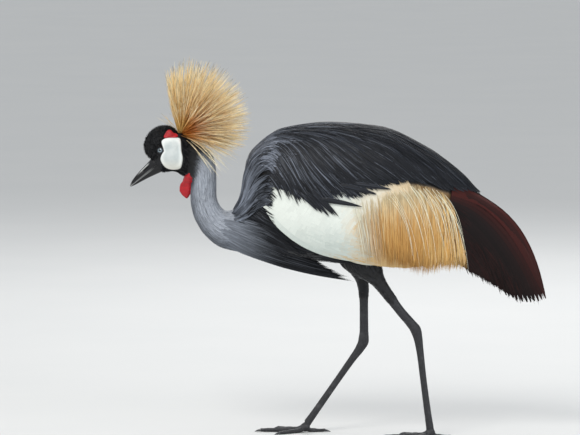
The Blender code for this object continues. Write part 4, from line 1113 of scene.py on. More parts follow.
def skin_material():
    """Bare horny skin on the legs, matt down elsewhere."""
    s = Shader("skin_and_legs", 0.5)
    bare = s.step(s.parts()[2], 0.262, 0.278, 1.0, 0.0)
    scales = s.cells(260, vector=s.place((1.0, 1.0, 0.62)))
    fine = s.noise(900, 2.0)
    seams = s.math("MULTIPLY", s.step(scales, 0.0, 0.16, 1.0, 0.0), s.math("MULTIPLY", bare, 0.75))
    colour = s.mix(seams, s.shade(), (0.004, 0.004, 0.005))
    dust = s.math("MULTIPLY", s.step(s.noise(60, 4.0), 0.5, 0.75), s.math("MULTIPLY", bare, 0.35))
    colour = s.mix(dust, colour, (0.10, 0.10, 0.105))
    height = s.math("ADD", s.math("MULTIPLY", s.step(scales, 0.0, 0.2), bare), s.math("MULTIPLY", fine, 0.15))
    s.bump(height, 0.55, 0.0006)
    return s.paint(colour, s.math("MULTIPLY_ADD", bare, -0.32, 0.86))


def make_wing_bed(name):
    """A closed shell just under one side's wing feathers, from the ridge down to the wing's edge."""
    side = SIDES[name]
    xs = np.linspace(-158, 212, 90)
    low = turn_at(xs, glide(BED_FLOOR, xs)[:, 0])
    turn = 1.2 + (low[:, None] - 1.2) * np.linspace(0, 1, 46)[None]
    x = np.broadcast_to(xs[:, None], turn.shape)
    sunk = np.interp(xs, [-158, -140, 200, 212], [5.0, 3.6, 3.6, 3.4])[:, None] * np.ones_like(turn)
    outer, inner = (off(cloak, x, turn, side, -lift)[0] for lift in (sunk, sunk + BED_THICK))
    for sheet in (outer, inner):
        sheet[..., 1] = np.where(sheet[..., 1] * side < 0.3 * MM, side * 0.3 * MM, sheet[..., 1])

    def shade(p):
        edge = scapular_edge(p[:, 0])
        white = smooth(turn_at(p[:, 0], p[:, 2]), edge - 2, edge + 3)
        colour = blend(np.broadcast_to(SOOT, p.shape), WHITE * 0.7, white)
        colour = blend(colour, GOLD * 0.8, white * smooth(p[:, 0], 40, 76))
        return blend(colour, CHESTNUT * 0.8, smooth(p[:, 0], 186, 200))

    s = Shader("under_down", 0.85)
    s.bump(s.noise(500, 4.0), 0.5, 0.0006)
    s.paint(s.mix(s.noise(260, 4.0), s.shade(), (0.01, 0.01, 0.011)))
    form = ring_loft(np.concatenate([outer, inner[:, ::-1]], axis=1))
    unwrap = lambda p: side_spot(p[:, [0, 2]], side)
    return shell(f"wing_bed_{name}", form, unwrap, s.material, "scapular_slate", shade=shade)


def fitted(surface, u, v, side, lie, length, inside, stations=24):
    """Lengths cut so that each feather's tip stays where inside(u, v) holds."""
    outside = ~inside(*walk(surface, u, v, side, lie, length, stations))
    share = np.where(outside.any(1), (outside.argmax(1) - 1) / (stations - 1), 1)
    return length * np.maximum(share, 0.1)


def laid(surface, u, v, side, lie, length, stations, lift):
    """Paths and normals of feathers laid along a surface, with their lift (n, stations) in millimetres."""
    return off(surface, *walk(surface, u, v, side, lie, length, stations), side, lift)


def laid_dark(draw, u, v, side, length, bend, margin, stations, levels, loose):
    """Dark feathers on the cloak, cut to end above the scapulars' lower edge: paths, normals and lengths."""
    n = len(u)
    margin = draw.uniform(*margin, n)[:, None]
    lie = lambda x, turn: dark_lie(x, turn) + bend
    inside = lambda x, turn: (turn < scapular_edge(x) + margin) & (x < DARK_END)
    length = fitted(cloak, u, v, side, lie, length, inside)
    lift = lifts(draw, n, stations, levels, *loose)
    return *laid(cloak, u, v, side, lie, length, stations, lift), length


def tones(draw, n, colour, spread=0.12):
    """One shade for each feather, a little lighter or darker than the given colours."""
    return colour * (1 + draw.uniform(-spread, spread, (n, 1)))


def along_path(colour, stations):
    return np.repeat(colour[:, None], stations, axis=1)


def on_side(side, x, z, lift):
    """Points over the cloak's side at side-view places, and their normals."""
    turn = turn_at(x, z)
    points, normal = off(cloak, x, turn, side, np.broadcast_to(lift, x.shape))
    points[..., 2] = np.where(z < points[..., 2] / MM, z * MM, points[..., 2])
    points[..., 0] = x * MM
    return points, normal


def side_tree(*objects):
    """One tree of several meshes, to find where the body's side stands."""
    points, faces = [], []
    for obj in objects:
        start = len(points)
        points += [v.co[:] for v in obj.data.vertices]
        faces += [[start + i for i in f.vertices] for f in obj.data.polygons]
    return BVHTree.FromPolygons(points, faces)


def drape(tree, side, x, z, lift):
    """Points over the body's side at side-view places (n, s), and their normals, evened along each path."""
    n, s = x.shape
    y, normal = np.full((n, s), np.nan), np.tile((0.0, side, 0.0), (n, s, 1))
    towards = Vector((0, -side, 0))
    for i in range(n):
        for j in range(s):
            hit, facing, _, _ = tree.ray_cast(Vector((x[i, j] * MM, 0.2 * side, z[i, j] * MM)), towards)
            if hit is not None and hit.y * side > 0:
                y[i, j], normal[i, j] = hit.y * side / MM, facing
    for j in range(1, s):
        y[:, j] = np.where(np.isnan(y[:, j]), y[:, j - 1], y[:, j])
    for j in range(s - 2, -1, -1):
        y[:, j] = np.where(np.isnan(y[:, j]), y[:, j + 1], y[:, j])
    y = np.nan_to_num(y, nan=14.0)
    normal = unit(normal + np.array((0, side * 0.6, 0)))
    for _ in range(4):
        between = (y[:, :-2] + y[:, 1:-1] + y[:, 2:]) / 3
        y = np.maximum(np.concatenate([y[:, :1], between, y[:, -1:]], 1), y - 1.5)
        between = normal[:, :-2] + normal[:, 1:-1] + normal[:, 2:]
        normal = unit(np.concatenate([normal[:, :1], between, normal[:, -1:]], 1))
    place = np.stack([x, side * y, z], -1)
    return (place + normal * lift[..., None]) * MM, normal


def family(guides, place, t):
    """Side-view points on the curves between guides: place runs over the guides' numbers, t along each."""
    curves = np.array([curve_at(guide, t) for guide in guides])
    low = np.clip(place.astype(int), 0, len(guides) - 2)
    share = np.clip(place, 0, len(guides) - 1) - low
    first, second = (np.take_along_axis(curves, (low + k)[None, ..., None], 0)[0] for k in (0, 1))
    return first + (second - first) * share[..., None]


def strands(coat, tree, draw, side, guides, count, clumps, stations, reach, width, lift, shade, gather=0.7,
            low=0.0, start=0.75):
    """Hair-like plumes along the curves between guides, drawn together towards the tips of their clumps."""
    clump = draw.integers(0, clumps, count)
    middle = draw.uniform(low, len(guides) - 1, clumps)[clump]
    begin = (draw.random(clumps)[clump] * start + draw.uniform(-0.05, 0.05, count)).clip(0, 1)
    length = draw.uniform(*reach, clumps)[clump] * draw.uniform(0.8, 1.15, count)
    length = np.clip(1 + draw.uniform(-0.05, 0.02, count) - begin, 0.08, length)
    place = middle + draw.normal(0, 0.16, count)
    share = np.linspace(0, 1, stations)[None]
    t = begin[:, None] + length[:, None] * share
    points = family(guides, middle[:, None] + (place - middle)[:, None] * (1 - gather * share), t)
    rise = lifts(draw, count, stations, (0.0, *lift), -0.8, 1.6)
    path, normal = drape(tree, side, points[..., 0], points[..., 1], rise)
    wide = width * leaf(stations, 0.45, 0.04, 0.4) * draw.uniform(0.6, 1.4, (count, 1))
    colour = shade(t, draw.random(clumps)[clump], draw.random(count))
    x, z = points[:, 0].T
    spot = cloak_spot(np.maximum(x, -178), turn_at(x, z), side)
    coat.add(draw, path, normal, wide, 0.35, colour, spot, roll=(0, 12))


def make_neck_feathers():
    """Fine grey hair-like feathers down the neck, sooty on the nape and throat."""
    draw = np.random.default_rng(11)
    outside_fold = lambda u, v: ~((u > 3.4) & (u < 5.4) & (v > 128))
    for name, side in SIDES.items():
        coat = Coat()
        rows = np.arange(3.5, 10.95, 0.078)
        u, v = rows_of_roots(neck, side, rows, 0, 180, 2.5, draw, keep=outside_fold)
        n = len(u)
        deep = smooth(u, 7.0, 10.0)
        length = (20 + 14 * deep) * draw.uniform(0.7, 1.3, n)
        arch = np.array([[0.2, 1.3, 1.5, 1.1, 0.2]])
        stations = arch.size
        lift = -1.3 + arch * (0.8 + 0.5 * deep[:, None]) * draw.uniform(0.75, 1.25, (n, 1))
        bend = draw.normal(0, 3.0, n)
        path, normal = laid(neck, u, v, side, lambda a, b: bend, length, stations, lift)
        width = (0.95 + 0.35 * deep)[:, None] * leaf(stations, 0.7, 0.05) * draw.uniform(0.7, 1.3, (n, 1))
        streak = 1 + 0.13 * np.sin(0.52 * v + 1.6 * np.sin(1.9 * u))
        streak = streak + 0.07 * np.sin(1.3 * v - 2.4 * np.sin(1.1 * u))
        grey = tones(draw, n, neck_shade(u, v)) * streak[:, None]
        coat.add(draw, path, normal, width, 0.25, grey, neck_spot(u, v * side))
        material = plumage(f"neck_hair_feathers_{name}", 0.55, sheen=0.1, root_painted_shade=0.5, barb_depth=0.05,
                           specular=0.3, tint_span=0.3)
        coat.build(f"neck_feathers_{name}", material, "neck_grey")


def neck_shade(u, v):
    """Grey of the neck: black behind the face, pale down the sides, darker at the nape and the base."""
    place = neck(u, v, RIGHT) / MM
    black = face_black(place[..., 0], place[..., 2])
    pale = blend(NECK_PALE, NECK_DARK, 0.75 * smooth(np.abs(v), 95, 165))
    pale = blend(pale, NECK_DARK, 0.85 * smooth(u, 9.3, 10.9))
    pale = blend(pale, SLATE_LIGHT, 0.5 * smooth(u, 8.6, 10.5) * smooth(np.abs(v), 100, 150))
    pale = blend(pale, NECK_DARK * 0.55, 0.8 * smooth(place[..., 2], 486, 508))
    return blend(pale, SOOT, black)


def face_black(x, z):
    """How far the face's black covers a place at the neck's top, seen from the side."""
    behind = (x + 255.3) * 0.984 - (z - 453.3) * 0.179
    return (1 - smooth(behind, -9, 4)) * smooth(z, 440, 454)


def make_mantle(tree, over):
    """Long hair-like plumes that rise over the body's front and arch back over the shoulder."""
    draw = np.random.default_rng(12)
    stations = 9
    fade = (1.1 - 0.3 * np.linspace(0, 1, stations))[None, :, None]
    for name, side in SIDES.items():
        coat = Coat()
        for us, low, high, spacing, base, extra in MANTLE_ROWS:
            u, v = rows_of_roots(cloak, side, us, low, high, spacing, draw)
            n = len(u)
            bend = draw.normal(0, 4, n)
            length = base + draw.uniform(0, extra, n)
            path, normal, _ = laid_dark(draw, u, v, side, length, bend, (-8, 0), stations, (-2.2, 1.6, 0.8),
                                        (-0.6, 1.2))
            width = 2.0 * leaf(stations, 0.4, 0.04, 0.35) * draw.uniform(0.55, 1.4, (n, 1))
            dark = np.clip(0.25 + 0.75 * smooth(u, -150, -75) + draw.normal(0, 0.26, n), 0, 1)
            shade = along_path(tones(draw, n, blend(ASH, SLATE, dark), 0.15), stations) * fade
            coat.add(draw, path, normal, width, 0.35, shade, cloak_spot(u, v, side))
        strands(coat, tree, draw, side, SHOULDER_GUIDES, 1150, 125, 9, (0.30, 0.5), 1.35, (4.6, 4.6),
                shoulder_shade, gather=0.85)
        strands(coat, over, draw, side, FRONT_GUIDES, 330, 44, 8, (0.5, 0.9), 1.25, (1.5, 1.3), lock_shade,
                start=0.3, gather=0.85)
        locks(coat, draw, side)
        material = plumage(f"mantle_hair_feathers_{name}", sheen=0.0, root_painted_shade=0.5, **HAIR)
        coat.build(f"mantle_plumes_{name}", material, "mantle_grey")


def shoulder_shade(t, clump, own):
    """Ash grey at the neck's base and slate further back, each lock lighter or darker."""
    loose = 0.95 * (clump - 0.5)[:, None] + 0.35 * (own - 0.5)[:, None]
    return blend(ASH * 1.1, SLATE * 0.45, np.clip(0.36 + 0.5 * smooth(t, 0.1, 0.7) + loose, 0, 1))


def locks(coat, draw, side):
    """Black pointed locks that hang from the shoulder over the white wing."""
    n, stations = 9, 9
    for start, end in LOCKS:
        begin = start + draw.normal(0, 1.6, (n, 2))
        tip = end + draw.normal(0, 0.7, (n, 2)) - draw.uniform(0, 0.2, (n, 1)) * (end - start)
        lift = lift_curve(stations, -1.5, 3.0, 3.2)
        path, normal = hung(side, begin, tip, draw.uniform(3, 5, n), stations, lift)
        width = 1.4 * leaf(stations, 0.3, 0.04) * draw.uniform(0.7, 1.2, (n, 1))
        dark = blend(SOOT, SLATE_LIGHT, np.clip(draw.normal(0.05, 0.12, n), 0, 1))
        coat.add(draw, path, normal, width, 0.4, dark, side_spot(begin, side))


def lock_shade(t, clump, own):
    """Sooty locks with a few ash-grey hairs."""
    loose = 0.85 * (clump - 0.45)[:, None] + 0.9 * (own - 0.6)[:, None]
    return blend(SLATE * 0.5, ASH, np.clip(loose - 0.5 * smooth(t, 0.5, 1.0), 0, 0.8))


def make_breast(tree):
    """Long slate plumes that hang back from the neck's base along the belly's side."""
    draw = np.random.default_rng(13)
    for name, side in SIDES.items():
        coat = Coat()
        strands(coat, tree, draw, side, FLANK_GUIDES, 600, 90, 7, (0.3, 0.5), 2.0, (3.0, 3.0), flank_shade,
                start=0.66, gather=0.25)
        strands(coat, tree, draw, side, BREAST_GUIDES, 1080, 115, 8, (0.24, 0.46), 1.45, (4.5, 5.0),
                breast_shade, start=0.66, gather=0.8)
        strands(coat, tree, draw, side, BREAST_GUIDES, 280, 46, 9, (0.5, 0.62), 1.5, (5.5, 6.0), breast_shade,
                low=1.8, start=0.46, gather=0.5)
        material = plumage(f"breast_hair_feathers_{name}", sheen=0.0, root_painted_shade=0.9, **HAIR)
        coat.build(f"breast_plumes_{name}", material, "mantle_grey")


def breast_shade(t, clump, own):
    """Neck grey at the roots, slate beyond the neck's base."""
    dark = np.clip(1.05 * smooth(t, 0.16, 0.62) + 0.5 * (clump - 0.5)[:, None] * smooth(t, 0.1, 0.4)
                   + 0.25 * (own - 0.5)[:, None] * smooth(t, 0, 0.3), 0, 1)
    return blend(blend(NECK_PALE, NECK_DARK, 0.6), SLATE * 0.6, dark)


def flank_shade(t, clump, own):
    """Dark slate down the flank, neck grey at the first roots."""
    dark = np.clip(smooth(t, 0.02, 0.26) + 0.3 * (own - 0.5)[:, None] + 0.3 * (clump - 0.5)[:, None], 0, 1)
    return blend(NECK_DARK * 0.8, SLATE * 0.55, dark)


def make_scapulars(name):
    """Blue-black scapulars: broad lanceolate feathers, then fine grey-streaked plumes over them."""
    side = SIDES[name]
    draw = np.random.default_rng(14 + (side > 0))
    above_edge = lambda margin: lambda u, v: v < scapular_edge(u) - margin
    broad, stations = Coat(), 14
    u, v = rows_of_roots(cloak, side, np.arange(-124, 216, 11.0), 3, 112, 9.5, draw, keep=above_edge(9))
    n = len(u)
    length = 74 + 50 * smooth(u, -80, 120) * draw.uniform(0.8, 1.1, n)
    bend = draw.normal(0, 3.0, n)
    path, normal, length = laid_dark(draw, u, v, side, length, bend, (-7.0, -1.0), stations, (-2.6, 1.3, 1.0),
                                     (-0.3, 1.6))
    width = (10 + 5 * smooth(u, 0, 150))[:, None] * leaf(stations, 0.5, 0.03, 0.5)
    width = width * draw.uniform(0.8, 1.15, (n, 1))
    width = width * np.clip(length / 45, 0.4, 1)[:, None]
    pale = np.clip(0.04 + draw.normal(0, 0.08, n) + 0.14 * (1 - smooth(u, -80, 60)), 0, 1)
    shade = tones(draw, n, blend(SLATE * 0.62, SLATE_LIGHT, pale), 0.3)
    broad.add(draw, path, normal, width, 0.6, shade, cloak_spot(u, v, side), BROAD, roll=(4, 5), spread=0.5)
    tips(broad, draw, side)
    material = plumage(f"scapular_vanes_{name}", 0.42, shaft=SLATE_LIGHT * 0.6, shaft_width=0.06,
                       fringe=SLATE_LIGHT, fringe_from=0.80, fringe_share=0.6, barb_depth=0.3, sheen=0.0,
                       root_painted_shade=0.35, specular=0.28)
    broad.build(f"scapulars_{name}_broad", material, "scapular_slate", f"scapulars_{name}")

    fine, stations = Coat(), 9
    u, v = rows_of_roots(cloak, side, np.arange(-126, 216, 5.2), 1, 122, 7.4, draw, 0.45, above_edge(5))
    n = len(u)
    length = draw.uniform(60, 125, n)
    bend = draw.normal(0, 2.4, n)
    path, normal, _ = laid_dark(draw, u, v, side, length, bend, (-8.0, 0.5), stations, (-1.2, 3.2, 2.8),
                                (-0.4, 1.3))
    width = 1.0 * leaf(stations, 0.45, 0.04, 0.5) * draw.uniform(0.5, 1.6, (n, 1))
    front = (1 - smooth(u, -90, 70)) * (1 - 0.5 * smooth(v, 20, 95))
    pale = np.where(draw.random(n) < 0.06 + 0.22 * front, draw.uniform(0.25, 0.75, n), 0.05 * draw.random(n))
    shade = blend(SLATE * 0.6, ASH, np.clip(pale * (0.55 + 0.45 * front), 0, 1))
    fine.add(draw, path, normal, width, 0.35, tones(draw, n, shade, 0.2), cloak_spot(u, v, side))
    material = plumage(f"scapular_streaks_{name}", sheen=0.0, root_painted_shade=0.4, **HAIR)
    fine.build(f"scapulars_{name}_streaks", material, "scapular_slate")


def tips(coat, draw, side):
    """Long pointed feathers that make the points of the scapulars' lower edge."""
    stations = 14
    rows = np.array(LONG_TIPS)
    rows = np.concatenate([rows + draw.normal(0, 1, rows.shape) * [2.2, 1.4, 4, 1.5] for _ in range(2)])
    n, angle, end = len(rows), np.radians(rows[:, 3]), rows[:, :2]
    start = end - np.stack([np.cos(angle), -np.sin(angle)], -1) * rows[:, 2:3]
    bow = rows[:, 2] * np.interp(rows[:, 3], [10, 35], [0.02, 0.05])
    path, normal = hung(side, start, end, bow, stations, lift_curve(stations, 0.0, 3.6, 3.4))
    width = 7.5 * leaf(stations, 0.4, 0.03, 0.4) * draw.uniform(0.7, 1.15, (n, 1))
    shade = tones(draw, n, np.broadcast_to(SLATE * 0.8, (n, 3)), 0.2)
    coat.add(draw, path, normal, width, 0.55, shade, side_spot(start, side), BROAD, spread=0.5)


def covert_shade(draw, u, v, z):
    """White, greyer below with painted shade, turning to pale gold towards the plumes and last of all at the
    top.
    """
    n = len(u)
    high = smooth(z, 385, 430) * (1 - 0.6 * smooth(u, 40, 90))
    gold = smooth(u + draw.normal(0, 6, n), -26, 44) * (1 - 0.6 * high)
    # The lower side of the wing is greyed with painted shade.
    white = blend(WHITE, WHITE_IN_PAINTED_SHADE, 0.85 * smooth(v, 100, 140))
    return tones(draw, n, blend(white, blend(GOLD_PALE, GOLD, 0.45), 0.9 * gold), 0.015)


def make_coverts(name):
    """Smooth white coverts of the folded wing, overlapping down and back."""
    side = SIDES[name]
    draw = np.random.default_rng(16 + (side > 0))
    coat = Coat()
    stations = 10
    height = lambda u, v: cloak(u, v, side)[..., 2] / MM
    panel = lambda u: glide(PANEL_EDGE, u)[..., 0]
    keep = lambda u, v: (v > scapular_edge(u) - np.where(u < -96, 6, 12)) & (height(u, v) > panel(u) + 8)
    u, v = rows_of_roots(cloak, side, np.arange(-133, 108, 8.0), 60, 176, 9.0, draw, 0.2, keep)
    n = len(u)
    length = 52 + 18 * smooth(u, -80, 40) * draw.uniform(0.9, 1.1, n)
    bend = draw.normal(0, 1.5, n)
    lie = lambda x, turn: white_lie(x) * (1 - 0.9 * smooth(turn, 105, 150)) + bend
    inside = lambda x, turn: (height(x, turn) > panel(x) + 2.5) & (x < 150)
    length = fitted(cloak, u, v, side, lie, length, inside)
    lift = lifts(draw, n, stations, (-2.4, 0.35, -0.1), -0.05, 0.1)
    path, normal = laid(cloak, u, v, side, lie, length, stations, lift)
    width = 21 * leaf(stations, 0.75, 0.12, 0.5) * draw.uniform(0.95, 1.1, (n, 1))
    width = width * np.clip(length / 46, 0.5, 1)[:, None] * np.interp(u, [-134, -98], [0.5, 1])[:, None]
    shade = covert_shade(draw, u, v, height(u, v))
    coat.add(draw, path, normal, width, 0.26, shade, cloak_spot(u, v, side), WEB, spread=0.08)

    x = np.arange(-128, 92, 4.0)[:, None] + 44 * np.linspace(0, 1, stations)[None]
    z = panel(x) + 4.5
    path, normal = on_side(side, x, z, lift_curve(stations, -2.0, 0.6, 0.3))
    width = np.broadcast_to(9.5 * leaf(stations, 0.6, 0.1, 0.5), x.shape)
    middle = np.stack([x[:, 5], z[:, 5]], -1)
    shade = covert_shade(draw, middle[:, 0], turn_at(*middle.T), middle[:, 1])
    coat.add(draw, path, normal, width, 0.26, shade, side_spot(middle, side), WEB, spread=0.08)
    material = plumage(f"covert_vanes_{name}", 0.6, shaft=WHITE * 0.9, shaft_width=0.03, barb_depth=0.05,
                       barb_pitch=1.3, root_painted_shade=0.96, specular=0.25, tint_span=0.06)
    return coat.build(f"coverts_{name}", material, "wing_white", f"wing_panel_{name}")


def arched(start, end, bow, share):
    """Side-view x and z at shares of the way from start to end, on an arch that rises by bow between them."""
    run = unit(end - start)
    arc = np.sin(math.pi * np.clip(share, 0, 1) ** 0.85) * bow[:, None]
    x = start[:, :1] + (end - start)[:, :1] * share - run[:, 1:] * arc
    return x, start[:, 1:] + (end - start)[:, 1:] * share + run[:, :1] * arc


def hung(side, start, end, bow, stations, lift):
    """Paths from one side-view place to another along the cloak's side, and their normals."""
    return on_side(side, *arched(start, end, bow, np.linspace(0, 1, stations)[None]), lift)


def make_plumes(name):
    """Loose straw-gold plumes that hang over the wing's rear, with pale shafts through them."""
    side = SIDES[name]
    draw = np.random.default_rng(18 + (side > 0))
    coat = Coat()
    stations = 8
    place = -0.13 + 1.13 * draw.random(2600)
    place = place[draw.random(len(place)) < 0.12 + 0.88 * smooth(place, -0.14, 0.12)]
    n, along = len(place), np.clip(place, 0, 1)
    drop = draw.random(n) ** 1.2 * np.where(place < 0.5, draw.random(n) ** 0.5, 1)
    root, tip = curve_at(PLUME_ROOTS, along), curve_at(PLUME_TIPS, along)
    early = np.clip(-place, 0, 1)[:, None] * np.array([[420.0, 60.0]])
    root, tip = root - early, tip - early * [0.8, -0.3]
    begin = root + (tip - root) * (0.66 * drop)[:, None]
    reach = draw.uniform(0.4, 1.0, n)
    end = begin + (tip - begin) * np.where(drop > 0.3, reach**0.4, reach)[:, None]
    end = end + draw.normal(0, 2.2, (n, 2)) * [1.2, 1.2]
    end[:, 1] = np.maximum(end[:, 1], tip[:, 1] - 5)
    bow = curve_at(PLUME_BOWS, along)[:, 0] * draw.uniform(0.6, 1.2, n)
    lift = lifts(draw, n, stations, (-0.3, 1.7, 1.2), -1.2, 2.2, 0.2)
    path, normal = hung(side, begin, end, bow, stations, lift)
    width = 1.15 * leaf(stations, 0.2, 0.06, 0.45) * draw.uniform(0.5, 1.5, (n, 1))
    rich = np.clip(draw.normal(0.62, 0.15, n) - 0.34 * smooth(place, 0.3, 0.9), 0, 1)
    gold = blend(blend(GOLD_PALE, GOLD, np.clip(rich * 2, 0, 1)), GOLD_DEEP, np.clip(rich * 2 - 1, 0, 1))
    white = 1 - smooth(place + draw.normal(0, 0.02, n), -0.15, 0.0)
    gold = blend(gold, WHITE * np.array([1.0, 0.97, 0.88]), white)
    gold = np.where((draw.random(n) < 0.16 * smooth(place, 0.55, 0.9))[:, None], GOLD_DEEP * 0.3, gold)
    pale = 0.7 * smooth(begin[:, 1], 392, 440) * (1 - 0.7 * smooth(place, 0.3, 0.8))
    cream = pale[:, None] * smooth(-np.linspace(0, 1, stations), -0.75, -0.1)
    shade = blend(along_path(tones(draw, n, gold, 0.08), stations), IVORY * 1.05, cream)
    coat.add(draw, path, normal, width, 0.35, shade, side_spot(begin, side), roll=(0, 8))
    material = plumage(f"gold_plume_{name}", 0.55, sheen=0.0, root_painted_shade=0.75, barb_depth=0.08, specular=0.3,
                       tint_span=0.3)
    coat.build(f"gold_plumes_{name}", material, "plume_gold", f"wing_plumes_{name}")

    n, stations = 30, 18
    place = np.linspace(0.0, 0.96, n) + draw.normal(0, 0.02, n)
    root = curve_at(PLUME_ROOTS, np.clip(0.10 + 0.88 * place, 0, 1))
    root = root - np.stack([np.zeros(n), draw.uniform(0, 18, n)], -1)
    drop = draw.uniform(62, 138, n) * (1 - 0.1 * place)
    fall = np.stack([draw.uniform(0.36, 0.46, n) - 0.06 * place, -np.ones(n)], -1)
    bow = drop * draw.uniform(0.07, 0.11, n)
    lift = lift_curve(stations, 1.0, 4.6, 4.8)
    path, _ = hung(side, root, root + drop[:, None] * fall, bow, stations, lift)
    slim = np.interp(np.linspace(0, 1, stations), [0, 0.5, 1], [1.0, 0.8, 0.3])
    slim = slim * draw.uniform(0.7, 1.15, (n, 1))
    pale = np.broadcast_to(blend(IVORY, WHITE, 0.4), (n, stations, 3))
    material = plumage(f"plume_shafts_{name}", 0.35, sheen=0.0, barb_depth=0.0, root_painted_shade=0.95)
    tint = np.full(n, 0.9)
    obj = bristles(f"gold_plume_shafts_{name}", path, slim, pale, side_spot(root, side), tint, 0.85, 5,
                   material)
    hang(obj, "plume_gold")


def make_secondaries(name):
    """Broad chestnut feathers that curve over the tail, with a black layer beneath."""
    side = SIDES[name]
    draw = np.random.default_rng(20 + (side > 0))
    coat = Coat()
    rows_at = lambda place: (curve_at(SECONDARY_ROOTS, place), curve_at(SECONDARY_TIPS, place),
                             curve_at(SECONDARY_BOWS, place)[:, 0])
    stations = 18
    for layer, (count, deep, colour) in enumerate(((21, 0.0, CHESTNUT), (12, -5.0, BLACK))):
        place = (np.arange(count) + 0.5 * layer) / (count - 1 + 0.5 * layer)
        root, tip, bow = rows_at(place)
        tip = tip + unit(root - tip) * (9 if layer else draw.uniform(-1.0, 1.5, (count, 1)))
        order = np.linspace(2.8, -1.8, count)[:, None]
        lift = deep + order + lift_curve(stations, -2.0, 0.4, -0.4)
        path, normal = hung(side, root, tip, bow, stations, lift)
        width = (27 - 5 * place)[:, None] * leaf(stations, 0.75, 0.07, 0.40)
        shade = along_path(tones(draw, count, np.broadcast_to(colour, (count, 3))), stations)
        if not layer:
            redder = (1 - smooth(place, 0.0, 0.18))[:, None] * np.linspace(0.8, 0.25, stations)[None]
            shade = blend(shade, CHESTNUT_RED, redder)
        coat.add(draw, path, normal, width, 0.7, shade, side_spot(root, side), WEB, spread=0.2)

    n, stations = 1100, 8
    place = draw.random(n)
    along = draw.random(n) ** 0.8
    root, tip, bow = rows_at(place)
    total = np.linalg.norm(tip - root, axis=1)
    begin = 0.86 * along
    span = np.minimum(draw.uniform(26, 56, n) / total, 1 + draw.uniform(-0.01, 0.012, n) - begin)
    step = np.linspace(0, 1, stations)[None]
    x, z = arched(root, tip, bow, begin[:, None] + span[:, None] * step)
    spill = step * draw.normal(1.5, 2.5, (n, 1))
    x, z = x - spill * 0.4, z - spill
    path, normal = on_side(side, x, z, lifts(draw, n, stations, (0.0, 1.6, 0.8), -0.4, 1.0))
    width = 1.2 * leaf(stations, 0.5, 0.05) * draw.uniform(0.6, 1.4, (n, 1))
    warm = np.clip(draw.normal(0.06, 0.08, n) + 0.6 * (1 - smooth(place, 0, 0.12)) * (1 - 0.6 * along), 0, 1)
    spot = cloak_spot(x[:, 0], turn_at(x[:, 0], z[:, 0]), side)
    coat.add(draw, path, normal, width, 0.3, blend(CHESTNUT, CHESTNUT_RED, warm), spot)
    material = plumage(f"chestnut_vanes_{name}", shaft=srgb(70, 44, 40), shaft_width=0.03, barb_depth=0.45,
                       barb_pitch=1.8, sheen=0.0, root_painted_shade=0.8, specular=0.18)
    coat.build(f"secondaries_{name}", material, "chestnut", f"wing_secondaries_{name}")


def make_tail():
    """Black tail feathers stacked under the wings' tips, over a stump of coverts."""
    draw = np.random.default_rng(24)
    coat = Coat()
    stations = 16
    share = np.linspace(0, 1, stations)[:, None]
    for side in SIDES.values():
        for k in range(6):
            root = np.array((222 + 2 * k, side * (4.0 + 1.0 * k), 392 - 3.0 * k))
            tip = np.array((338 - 9 * k, side * (6.4 + 0.7 * k), 262 - 2.6 * k))
            path = root + (tip - root) * share + np.array((3, 0, 7)) * 4 * share * (1 - share)
            normal = np.broadcast_to(unit(np.array((0.62, side * 0.35, 0.75))), path.shape)
            width = 14.5 * leaf(stations, 0.55, 0.4, 0.6)
            coat.add(draw, path[None] * MM, normal[None], width, 0.6, BLACK[None],
                     np.array([[0.7, 0.45 + side * 0.02]]), WEB)
    n, stations = 420, 8
    start = np.stack([draw.uniform(196, 232, n), draw.uniform(-16, 16, n), draw.uniform(372, 412, n)], -1)
    out = unit(np.stack([np.zeros(n), start[:, 1], start[:, 2] - 394], -1) + 1e-6)
    start[:, 1:] = np.array([0, 392]) + out[:, 1:] * [14, 17] * (1 - 0.35 * smooth(start[:, :1], 200, 240))
    length = draw.uniform(24, 42, n)[:, None] * np.linspace(0, 1, stations)[None]
    heading = unit(np.stack([np.full(n, 0.72), 0.04 * out[:, 1], np.full(n, -0.6)], -1))
    path = start[:, None] + heading[:, None] * length[..., None]
    width = 3.6 * leaf(stations, 0.6, 0.08) * draw.uniform(0.7, 1.2, (n, 1))
    coat.add(draw, path * MM, along_path(out, stations), width, 0.4, np.broadcast_to(SOOT, (n, 3)),
             np.stack([0.6 + start[:, 0] / 4000, 0.5 + start[:, 1] / 400], -1))
    material = plumage("tail_vanes", 0.45, shaft=srgb(60, 56, 56), shaft_width=0.04, barb_depth=0.3)
    coat.build("tail_feathers", material, "tail_black", "tail")


def make_body_feathers():
    """Short sooty feathers over the belly, flanks and rump, where the wings leave the body bare."""
    draw = np.random.default_rng(25)
    coat = Coat()
    stations = 7
    bare = lambda u, v: ((v > 92) & ((u > 20) | (v > 146))) | (u > 176)
    for side in SIDES.values():
        u, v = rows_of_roots(torso, side, np.arange(-168, 214, 7.6), 2, 180, 7.4, draw, keep=bare)
        n = len(u)
        length = draw.uniform(20, 32, n)
        lift = lift_curve(stations, -3.2, 1.2, 0.4) + draw.uniform(-0.4, 1.0, (n, 1))
        lift = lift - 1.2 * (1 - smooth(u, -120, -80))[:, None]
        lie = lambda a, b: 10 * np.sin(np.radians(b))
        path, normal = laid(torso, u, v, side, lie, length, stations, lift)
        width = 6.2 * leaf(stations, 0.6, 0.1) * draw.uniform(0.6, 1.2, (n, 1))
        grey = blend(SOOT, SLATE, np.clip(draw.normal(0.35, 0.25, n), 0, 1))
        grey = blend(NECK_DARK * 0.6, grey, smooth(u, -165, -85))
        spot = np.stack([(u + 180) / 420, 0.25 + 0.2 * v / 180 + (0.5 if side > 0 else 0)], -1)
        coat.add(draw, path, normal, width, 0.4, grey, spot)
    coat.build("body_feathers", plumage("body_down", 0.6, sheen=0.2, barb_depth=0.3), "thigh_black")


